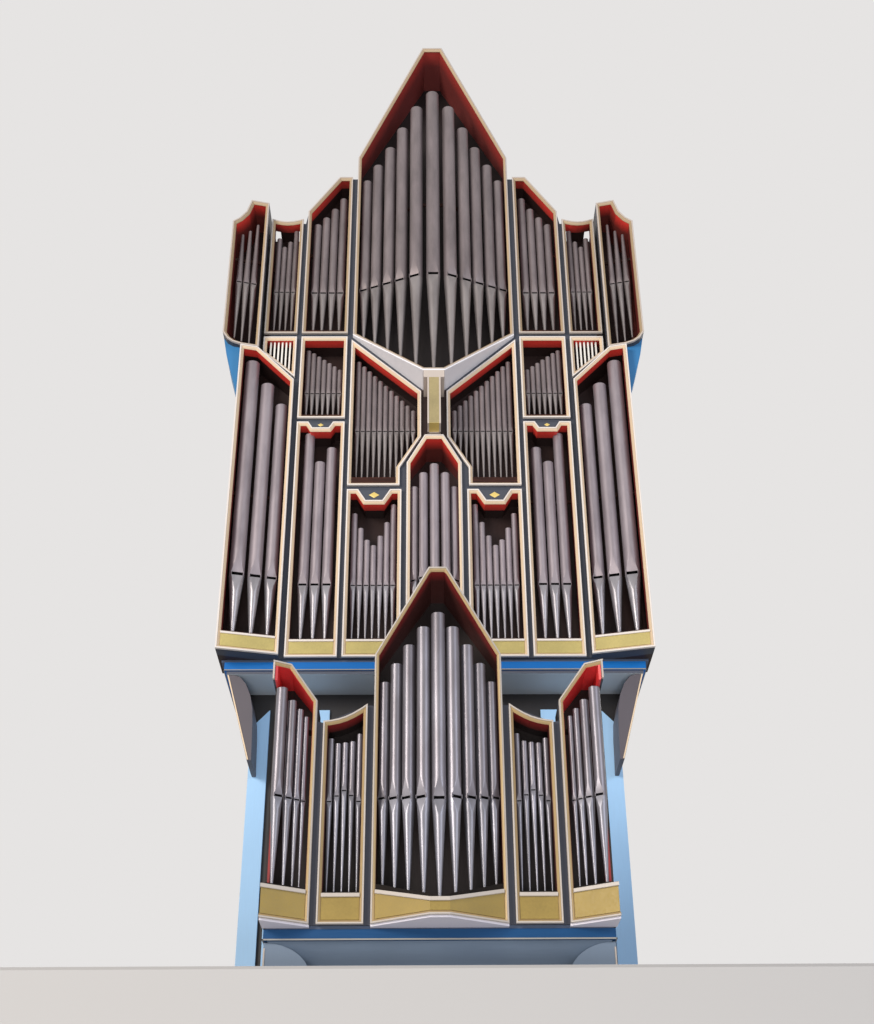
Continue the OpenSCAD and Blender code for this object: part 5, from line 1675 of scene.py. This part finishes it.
    def add_ears(self, bm: Bmesh, size: PipeSize, cut: float, place: Matrix) -> None:
        """Solder a small ear to each side of the mouth.

        Args:
            bm: bmesh that gets the ears.
            size: the pipe's sizes.
            cut: height of the mouth.
            place: where the pipe stands.
        """
        d = size.d
        x = math.sin(self.mouth_half) * d / 2
        y = -math.cos(self.mouth_half) * d / 2
        t = max(0.8, d * 0.014)
        low, high = size.foot - d * 0.05, size.foot + cut + d * 0.1
        out = d * 0.1
        for side in (-1, 1):
            rings = []
            for z, reach in ((low, out * 0.55), (low + d * 0.05, out), (high - d * 0.05, out),
                             (high, out * 0.55)):
                a, b = x - t, x + t
                section = [(a, y + t), (b, y + t), (b, y - reach), (a, y - reach)]
                rings.append([place @ Vector((side * px, py, z)) for px, py in section])
            add_prism(bm, rings)

    def add_seam(self, bm: Bmesh, size: PipeSize, place: Matrix) -> None:
        """Lay the thin bead of solder round the joint of foot and body.

        Args:
            bm: bmesh that gets the bead.
            size: the pipe's sizes.
            place: where the pipe stands.
        """
        r = size.d / 2
        half = self.mouth_half
        steps = 20
        rise = size.d * 0.016
        rings = []
        for k in range(steps + 1):
            angle = half + (2 * math.pi - 2 * half) * k / steps
            ring = []
            for out, z in ((-0.5, -rise), (rise * 0.7, 0.0), (-0.5, rise)):
                radius = r + out
                ring.append(place @ Vector((math.sin(angle) * radius,
                                            -math.cos(angle) * radius, size.foot + z)))
            rings.append(ring)
        add_prism(bm, rings)

    def front_pipe(self, name: str, x: float, back: float, foot_z: float, mouth: float,
                   top: float, d: float, top_d: float = 0.0) -> PipeSize:
        """Place a pipe behind a field's broken front, square to its facet.

        Args:
            name: name of the field.
            x: distance from the symmetry plane.
            back: distance from the front to the pipe's axis.
            foot_z: height of the tip.
            mouth: height of the mouth.
            top: height of the top.
            d: diameter at the mouth.
            top_d: diameter at the top, if it differs.

        Returns:
            The pipe.
        """
        front = SHAPES[name].front
        return PipeSize.standing((x, front.y(x) + back, foot_z), math.atan(front.slope(x)),
                                 mouth, top, d, top_d)

    def rank(self, x0: float, x1: float, roof: float, row: Row, mouth: float,
             foot_z: float, y: float) -> list[PipeSize]:
        """Place a straight row of pipes.

        Args:
            x0: left edge of the field.
            x1: its right edge.
            roof: height of its top.
            row: inset and drops of the row.
            mouth: height of the mouths.
            foot_z: height of the tips.
            y: distance of the axes behind the main front.

        Returns:
            The pipes from left to right.
        """
        inset, drops = row
        pitch = (x1 - x0 - 2 * inset) / len(drops)
        return [PipeSize.standing((x0 + inset + pitch * (i + 0.5), y, foot_z), 0.0, mouth,
                                  roof - drop, pitch * self.fill)
                for i, drop in enumerate(drops)]

    def lower_ranks(self) -> Ranks:
        """Work out the pipes of the main case's lower fields and pedal towers.

        Returns:
            The pipes of each node.
        """
        p = self.plan
        toe, mouth = p.low_toe, p.base_z + p.low_mouth_h
        lower = self.rank(p.tall_x0, p.tall_x1, p.tall_top, self.tall_row, mouth - 7, toe,
                          p.pipe_back)
        lower += self.rank(p.low_x0, p.low_x1, p.low_top, self.low_row, mouth - 11, toe,
                           p.pipe_back - 10)
        mid_in = p.mid_hw - p.toe_in
        mid = [self.front_pipe("middle", mid_in * share, p.pipe_back - 15, toe, mouth,
                               p.mid_top - drop, mid_in * wide)
               for share, drop, wide in self.middle]
        inner = p.case_half_w - p.pedal_x - 2 * p.toe_in
        rise = ((p.pedal_top_z - p.pedal_low_top_z)
                / (p.case_half_w - p.pedal_flat - p.pedal_x))
        pedal = []
        for share, drop, wide in self.pedal:
            x = p.pedal_x + p.toe_in + inner * share
            roof = min(p.pedal_top_z, p.pedal_low_top_z + (x - p.pedal_x) * rise)
            pedal.append(self.front_pipe("pedal", x, p.pipe_back + 10, toe, mouth + 15,
                                         roof - drop, inner * wide))
        return {"lower_pipes": (mid[:1], lower + mid[1:]), "pedal_pipes": ([], pedal)}

    def storey_ranks(self) -> Ranks:
        """Work out the pipes of the second storey and the upper fields.

        Returns:
            The pipes of each node.
        """
        p = self.plan
        row2_z0, row2_z1 = p.row2_z
        row3_toe = p.row3_z0 + p.row_toe
        middle = self.rank(p.tall_x0, p.tall_x1, row2_z1, self.small_row,
                           row2_z0 + p.small_mouth_h, row2_z0 + p.row_toe, p.pipe_back - 20)
        pitch = (p.low_x1 - p.hex_x - sum(self.hex_inset)) / self.hex_count
        slope = (p.hex_foot_z - p.hex_low_z) / (p.hex_low_x - p.hex_x)
        rise = (p.hex_outer_z - p.hex_inner_z) / (p.low_x1 - p.hex_x)
        drop, less = self.hex_drop
        for i in range(self.hex_count):
            x = p.hex_x + self.hex_inset[0] + pitch * (i + 0.5)
            foot = p.low_top + p.stile_w + 90
            if i < self.hex_slanted:
                foot = (p.hex_foot_z - (x - p.hex_x) * slope
                        + p.toe_in / math.cos(math.atan(slope)) + 30)
            top = p.hex_inner_z + (x - p.hex_x) * rise - drop + less * i
            middle.append(PipeSize.standing((x, p.pipe_back - 20, foot), 0.0, p.hex_mouth_z,
                                            top, pitch * self.fill))
        upper = self.rank(p.tall_x0, p.tall_x1, p.shoulder_top_z, self.shoulder_row,
                          p.top_mouth_z, row3_toe, p.pipe_back - 5)
        upper += self.rank(p.pedal_x, p.conc_x1, p.conc_top_z, self.hollow_row,
                           p.top_mouth_z + 10, row3_toe, p.pipe_back - 15)
        wx0, wx1 = p.wing_x
        inner = wx1 - wx0 - 2 * p.toe_in
        for share, foot, drop in self.wing:
            upper.append(self.front_pipe("upper_wing", wx0 + p.toe_in + inner * share,
                                         p.pipe_back, p.pedal_top_z + foot, p.top_mouth_z + 10,
                                         p.wing_top_z - drop,
                                         *(inner * share for share in self.wing_d)))
        return {"middle_pipes": ([], middle), "upper_pipes": ([], upper)}

    def tower_rank(self) -> Ranks:
        """Work out the prow tower's pipes.

        Returns:
            The pipes of its node.
        """
        p = self.plan
        inner = p.tower_half_w - p.toe_in
        slope = (p.tower_low_z - p.keel_z) / (p.tower_half_w - p.tower_nose)
        fall = (p.tower_peak_z - p.tower_shoulder_z) / (p.tower_half_w - p.tower_nose)
        pipes = []
        for share, drop, wide in self.tower:
            x = inner * share
            away = max(0.0, x - p.tower_nose)
            foot = p.keel_z + away * slope + p.toe_in / math.cos(math.atan(slope)) + 44
            pipes.append(self.front_pipe("tower", x, p.pipe_back, foot, p.top_mouth_z,
                                         p.tower_peak_z - away * fall - drop, inner * wide))
        return {"tower_pipes": (pipes[:1], pipes[1:])}

    def chair_ranks(self) -> Ranks:
        """Work out the chair case's pipes.

        Returns:
            The pipes of each node.
        """
        p = self.plan
        inner = p.chair_half_w - p.toe_in
        fall = (p.chair_peak_z - p.chair_shoulder_z) / (p.chair_half_w - p.chair_nose)
        panel_top = p.chair_base_z + p.chair_panel_h
        tower_back, flat_back, wing_back = self.chair_back
        tower = []
        for i, (share, drop, wide) in enumerate(self.chair):
            x = inner * share
            foot, mouth = (first + step * i for first, step in (self.chair_foot,
                                                                self.chair_mouth))
            top = p.chair_peak_z - max(0.0, x - p.chair_nose) * fall - drop
            tower.append(self.front_pipe("chair_tower", x, tower_back, panel_top + foot,
                                         p.chair_mouth_z + mouth, top, inner * wide))
        side = []
        inset, toe = 24, panel_top + p.edge_w
        pitch = (p.chair_flat_x1 - p.chair_flat_x0 - 2 * inset) / len(self.chair_flat)
        for i, (lift, drop) in enumerate(self.chair_flat):
            x = p.chair_flat_x0 + inset + pitch * (i + 0.5)
            side.append(PipeSize.standing((x, p.chair_y + flat_back, toe + 5), 0.0,
                                          p.chair_mouth_z + lift, p.chair_flat_peak - drop,
                                          pitch * self.chair_fill))
        span = p.chair_wide - p.chair_wing_x0 - p.toe_in
        for share, wide, drop in self.chair_wing:
            x = p.chair_wing_x0 + p.toe_in + span * share
            side.append(self.front_pipe("chair_wing", x, wing_back, toe + 20, p.chair_mouth_z,
                                        p.chair_wing_top_z - drop, span * wide))
        return {"chair_tower_pipes": (tower[:1], tower[1:]), "chair_side_pipes": ([], side)}

    def build(self) -> None:
        """Build one piece for each pipe node."""
        ranks = {**self.lower_ranks(), **self.storey_ranks(), **self.tower_rank(),
                 **self.chair_ranks()}
        for node, (middle, right) in ranks.items():
            bm = bmesh.new()
            for size in middle + right + [pipe.mirrored() for pipe in right]:
                self.add_pipe(bm, size)
            # Tin, bore and foot tin, whose lighter tone is a painted reflection; the high and
            # chair ranks take darker copies as painted shade
            coats = (Coat.TIN, Coat.BORE, Coat.FOOT_TIN)
            if node.startswith("chair"):
                coats = (Coat.CHAIR_TIN, Coat.BORE, Coat.CHAIR_FOOT_TIN)
            elif node in ("tower_pipes", "upper_pipes", "middle_pipes"):
                coats = (Coat.HIGH_TIN, Coat.BORE, Coat.HIGH_FOOT_TIN)
            add_piece(node + "_tin", bm, [self.paints[coat] for coat in coats],
                      node, 32)


# Construction nodes that keep their own shape


NODE_COATS: dict[Coat, tuple[str, ...]] = {
    Coat.CASE: ("lower_back", "upper_back", "tower_back", "name_plates", "tracker_duct",
                "chair_back", "chair_tower_back"),
    Coat.CASE_BOX: ("lower_body", "upper_body", "outer_bodies"),
    Coat.TOWER_BOX: ("tower_body",),
    Coat.CHAIR_BOX: ("chair_tower_body", "chair_side_bodies"),
    Coat.RECESS: ("lower_case",),
    Coat.LIGHT_PANEL: ("case_panels",),
    Coat.BRACKET: ("case_brackets",),
    Coat.PLINTH: ("case_plinth", "chair_plinth"),
    Coat.BAND: ("case_band",),
    Coat.CHAIR_BAND: ("chair_band",),
    Coat.MAIN_UNDERSIDE: ("case_soffit",),
    Coat.UNDERSIDE: ("chair_underside",),
    Coat.TOWER_SOFFIT: ("v_soffit",),
    Coat.SOFFIT: ("chair_soffit",),
    Coat.TOWER_WHITE: ("keel",),
    Coat.LINING: ("field_linings",),
    Coat.TOWER_LINING: ("tower_lining",),
    Coat.CHAIR_LINING: ("chair_linings",),
    Coat.COVE: ("wing_coves",),
    Coat.SLAT: ("grille_slats",),
    Coat.GILT: ("gilt_panels",),
    Coat.CHAIR_GILT: ("chair_panels",),
    Coat.TOE: ("toe_boards", "stay_rails"),
    Coat.DARK_TOE: ("chair_toes", "chair_stays"),
    Coat.OAK: ("keydesk", "pedalboard"),
    Coat.BONE: ("natural_keys",),
    Coat.EBONY: ("sharp_keys",),
}


@dataclass
class CaseWork:
    """Boards, linings, panels and keydesk: construction nodes that only get a finish.

    Attributes:
        paints: the organ's materials.
    """

    paints: Palette

    def build(self) -> None:
        """Give each of these nodes its finish."""
        for coat, names in NODE_COATS.items():
            for name in names:
                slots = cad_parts[name].data.materials
                slots.clear()
                slots.append(self.paints[coat])
                LOG.info("%s: %s", name, self.paints[coat].name)


@dataclass
class Trims:
    """Small trims: lozenges, the keel's strip, beads, the chair case's returns, stop knobs.

    Attributes:
        plan: driving sizes.
        paints: the organ's materials.
        strip_half: half width of the gilt strip on the keel.
        strip_outer: half width of the keel, over the strip's white edgings.
        strip_back: y at which the gilt strip under the keel ends.
        bead_h: height of the bead under the blue bands.
        return_reach: how far a chair return's cove reaches in.
        return_t: thickness of a chair return.
        knob_grid: columns and rows of stop knobs on each jamb.
    """

    plan: Plan
    paints: Palette
    strip_half: float = 43.0
    strip_outer: float = 57.0
    strip_back: float = -150.0
    bead_h: float = 9.0
    return_reach: float = 268.0
    return_t: float = 60.0
    knob_grid: tuple[int, int] = (3, 4)

    def add(self, name: str, bm: Bmesh, slot: str, *coats: Coat, smooth_deg: float = 0.0
            ) -> None:
        """Add a trim with its coats."""
        add_piece(name, bm, [self.paints[coat] for coat in coats],
                  smooth_deg=smooth_deg)

    def lozenges(self) -> None:
        """Lay a plain gilt lozenge on each plate between the fields."""
        p = self.plan
        bm = bmesh.new()
        for x0, x1, z1, notch in ((p.tall_x0, p.tall_x1, p.tall_top, TALL_NOTCH),
                                  (p.low_x0, p.low_x1, p.low_top, LOW_NOTCH)):
            centre = (x0 + x1) / 2
            z = z1 - notch[1] / 2
            high = notch[1] * 0.27
            wide = high * 1.5
            for side in (-1, 1):
                add_prism(bm, [[(side * centre + wide * share * a, y, z + high * share * b)
                                for a, b in ((1, 0), (0, 1), (-1, 0), (0, -1))]
                               for y, share in ((-11.0, 1.0), (-13.5, 1.0), (-15.5, 0.72))])
        self.add("plate_lozenges", bm, "gilt_panel", Coat.BRIGHT_GOLD)

    def keel_strip(self) -> None:
        """Face the keel with a gilt strip between two white edgings, and wrap it under."""
        p = self.plan
        inner, outer, back = self.strip_half, self.strip_outer, self.strip_back
        front = -p.tower_proj - p.frame_proud
        mid_front = -p.mid_proj - p.frame_proud
        low, head = p.mid_top + 15, p.keel_z - p.shell_t - 77
        bm = bmesh.new()
        add_box(bm, (-inner, front - 1.5, low), (inner, front + 2, head), 1)
        for side in (-1, 1):
            x = sorted((side * inner, side * outer))
            add_box(bm, (x[0], front - 5, low - 6), (x[1], front + 2, head), 0, 2)
            add_box(bm, (x[0], front + 2, low - 6), (x[1], mid_front, low))
        add_box(bm, (-inner, front - 1.5, low - 2), (inner, back, low), 2)
        add_box(bm, (-outer, back, low - 6), (outer, mid_front, low))
        self.add("keel_strip", bm, "keel_cream", Coat.TOWER_WHITE, Coat.KEEL_GILT,
                 Coat.BRIGHT_GOLD)

    def cream_lines(self) -> None:
        """Run a thin cream bead along the lower edge of each blue band."""
        p = self.plan
        bm = bmesh.new()
        for half, y0, y1, z in ((p.case_half_w - 2 * p.band_in, 40.0, 1400.0,
                                 p.base_z - p.plinth_h - p.band_h),
                                (p.chair_wide - 10, p.chair_y + 20, p.chair_y + 680,
                                 p.chair_base_z - 80)):
            top = z + self.bead_h
            add_box(bm, (-half - 5, y0 - 5, z), (half + 5, y0 + 1, top), 0, 2)
            for side in (-1, 1):
                x = sorted((side * (half - 1), side * (half + 5)))
                add_box(bm, (x[0], y0 - 5, z), (x[1], y1, top), 0, 2)
        self.add("cream_beads", bm, "frame_cream", Coat.BEAD)

    def bracket_lines(self) -> None:
        """Run a thin cream bead up the outer front edge of each bracket."""
        bm = bmesh.new()
        low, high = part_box("case_brackets")
        front, bottom = low[1] * PER_METRE, low[2] * PER_METRE
        head, top = high[0] * PER_METRE, high[2] * PER_METRE
        for side in (-1, 1):
            add_prism(bm, [[(side * (x - dx), front + dy, z)
                            for dx, dy in ((1, 3), (12, 3), (12, -6), (1, -6))]
                           for z, x in ((bottom + 4, self.plan.bracket_toe), (top - 4, head))])
        self.add("bracket_beads", bm, "frame_cream", Coat.CREAM)

    def chair_returns(self) -> None:
        """Close both ends under the chair case with a coved cheek and its cream edge."""
        p = self.plan
        bm = bmesh.new()
        front, ground, steps = p.chair_y + 45, 2.0, 12
        outer, top = p.chair_wide - 12, p.chair_base_z - 86
        turns = [math.pi / 2 * k / steps for k in range(steps + 1)]
        outline = [(outer - self.return_reach * math.cos(a), top * math.sin(a)) for a in turns]
        outline.append((outer, ground))
        for side in (-1, 1):
            add_prism(bm, [[(side * x, y, max(ground, z)) for x, z in outline]
                           for y in (front, front + self.return_t)])
            x = sorted((side * (outer - 9), side * outer))
            add_box(bm, (x[0], front - 4, ground), (x[1], front, top - 30), 1)
        self.add("chair_returns", bm, "underside_grey", Coat.CHAIR_RETURN, Coat.CHAIR_WHITE)

    def stop_knobs(self) -> None:
        """Set turned stop knobs with bone faces into both jambs of the keydesk."""
        p = self.plan
        bm = bmesh.new()
        turn = Matrix.Rotation(math.pi / 2, 4, "X")
        body = [(6.0, -2.0), (6.0, 24.0), (9.0, 26.0), (14.0, 31.0), (16.0, 36.0),
                (15.0, 41.0), (12.5, 43.0)]
        face = [(12.0, 42.0), (12.0, 43.6), (10.5, 44.2)]
        columns, rows = self.knob_grid
        (x0, x1), (z0, z1) = p.jamb_x, p.jamb_z
        places = [(side * (x0 + (column + 0.5) * (x1 - x0) / columns), p.jamb_y,
                   z0 + (row + 0.5) * (z1 - z0) / rows)
                  for side in (-1, 1) for column in range(columns) for row in range(rows)]
        for at in places:
            for material, profile in enumerate((body, face)):
                add_turned(bm, profile, Matrix.Translation(at) @ turn, material)
        self.add("stop_knobs", bm, "key_dark", Coat.EBONY, Coat.BONE, smooth_deg=35)

    def build(self) -> None:
        """Build every trim."""
        self.lozenges()
        self.keel_strip()
        self.cream_lines()
        self.bracket_lines()
        self.chair_returns()
        self.stop_knobs()


# Camera, lights and floor


@dataclass
class Studio:
    """Camera at the photograph's place, soft lamps, a pale floor and a pale backdrop.

    Attributes:
        eye: camera place in metres; it stands below the organ's floor.
        pitch: how far the camera looks up, in degrees.
        yaw: how far it looks aside, in radians.
        roll: its small tilt, in radians.
        lens_mm: focal length on a 36 mm sensor.
        backdrop: sRGB hex colour of the backdrop.
        floor_front: y of the floor's front edge in metres, just before the chair case.
        floor_t: thickness of the floor in metres.
        floor_reach: how far it runs to the sides and back, in metres.
    """

    eye: Triple = (-0.0727, -10.05, -1.77)
    pitch: float = 31.2
    yaw: float = -0.00935
    roll: float = -0.00685
    lens_mm: float = 49.22
    backdrop: str = "#e6e4e3"
    floor_front: float = -2.56
    floor_t: float = 0.5
    floor_reach: float = 30.0

    def camera(self) -> None:
        """Create the camera and make it the scene's."""
        data = bpy.data.cameras.new("photo_camera")
        data.lens = self.lens_mm
        data.sensor_width = 36.0
        data.clip_end = 200.0
        camera = bpy.data.objects.new("photo_camera", data)
        bpy.context.scene.collection.objects.link(camera)
        angle = math.radians(self.pitch)
        ahead = Vector((0.0, math.cos(angle), math.sin(angle)))
        across = Vector((1.0, 0.0, 0.0))
        over = Vector((0.0, -math.sin(angle), math.cos(angle)))
        right = across * math.cos(self.roll) + over * math.sin(self.roll)
        up = over * math.cos(self.roll) - across * math.sin(self.roll)
        turn = Matrix((right, up, -ahead)).transposed().to_4x4()
        camera.matrix_world = (Matrix.Translation(self.eye)
                               @ Matrix.Rotation(self.yaw, 4, "Z") @ turn)
        bpy.context.scene.camera = camera

    def lamp(self, name: str, place: Triple, aim: Triple, size: float, watts: float,
             colour: str) -> None:
        """Add a square soft lamp that looks at a point.

        Args:
            name: name of the lamp.
            place: where it stands, in metres.
            aim: point that it looks at.
            size: length of its side in metres.
            watts: its power.
            colour: sRGB hex colour of its light.
        """
        data = bpy.data.lights.new(name, "AREA")
        data.shape = "SQUARE"
        data.size = size
        data.energy = watts
        data.color = srgb(colour)[:3]
        lamp = bpy.data.objects.new(name, data)
        lamp.location = place
        direction = Vector(aim) - Vector(place)
        lamp.rotation_euler = direction.to_track_quat("-Z", "Y").to_euler()
        bpy.context.scene.collection.objects.link(lamp)

    def world(self) -> None:
        """Give the surroundings: a pale backdrop to the eye, softer light on the organ."""
        world = bpy.data.worlds.new("studio")
        bpy.context.scene.world = world
        world.use_nodes = True
        tree = world.node_tree
        tree.nodes.clear()
        path = add_node(tree, "LightPath")
        seen = add_node(tree, "Math", {"operation": "MAXIMUM"},
                        {0: path.outputs["Is Camera Ray"], 1: path.outputs["Is Glossy Ray"]})
        seen = add_node(tree, "Math", {"operation": "MAXIMUM"},
                        {0: seen, 1: path.outputs["Is Transmission Ray"]})
        light = add_node(tree, "Background", {"Color": srgb("#dfe4ec"), "Strength": 0.42})
        pale = add_node(tree, "Background", {"Color": srgb(self.backdrop), "Strength": 1.0})
        mix = add_node(tree, "MixShader", links={0: seen, 1: light, 2: pale})
        add_node(tree, "OutputWorld", links={"Surface": mix})

    def floor(self) -> None:
        """Lay the pale floor, whose edge stands just in front of the chair case."""
        bm = bmesh.new()
        front, depth, reach = (v * PER_METRE for v in (self.floor_front, self.floor_t,
                                                       self.floor_reach))
        add_box(bm, (-reach, front, -depth), (reach, reach, 0), chamfer=20)
        # Matt trowelled screed: even and pale, so that it only carries the shadow
        material = Finish("pale_floor", "#b2afac", 0.8).start()[0]
        new_object("studio_floor", bm, [material])

    def build(self) -> None:
        """Build camera, lamps, world and floor."""
        self.camera()
        self.lamp("key_left", (-11.0, -15.0, 6.0), (0.0, 0.0, 5.0), 5.0, 2350, "#fff7ee")
        self.lamp("fill_right", (12.0, -15.0, 6.0), (0.0, 0.0, 4.5), 7.0, 900, "#eaf0ff")
        self.lamp("low_front", (0.0, -16.0, -7.0), (0.0, 0.0, 4.0), 6.0, 1300, "#ffffff")
        self.lamp("back", (4.0, 10.0, 8.0), (0.0, 0.5, 5.0), 6.0, 500, "#ffffff")
        self.world()
        self.floor()


def main() -> None:
    """Build everything in order."""
    logging.basicConfig(level=logging.INFO, format="%(name)s: %(message)s")
    bpy.context.scene.view_settings.view_transform = "Standard"
    Studio().build()
    paints = {coat: coat.value.build() for coat in Coat}
    CaseWork(paints).build()
    CaseFrames(PLAN, paints).build()
    Pipework(PLAN, paints).build()
    Trims(PLAN, paints).build()


if __name__ == "__main__":
    main()
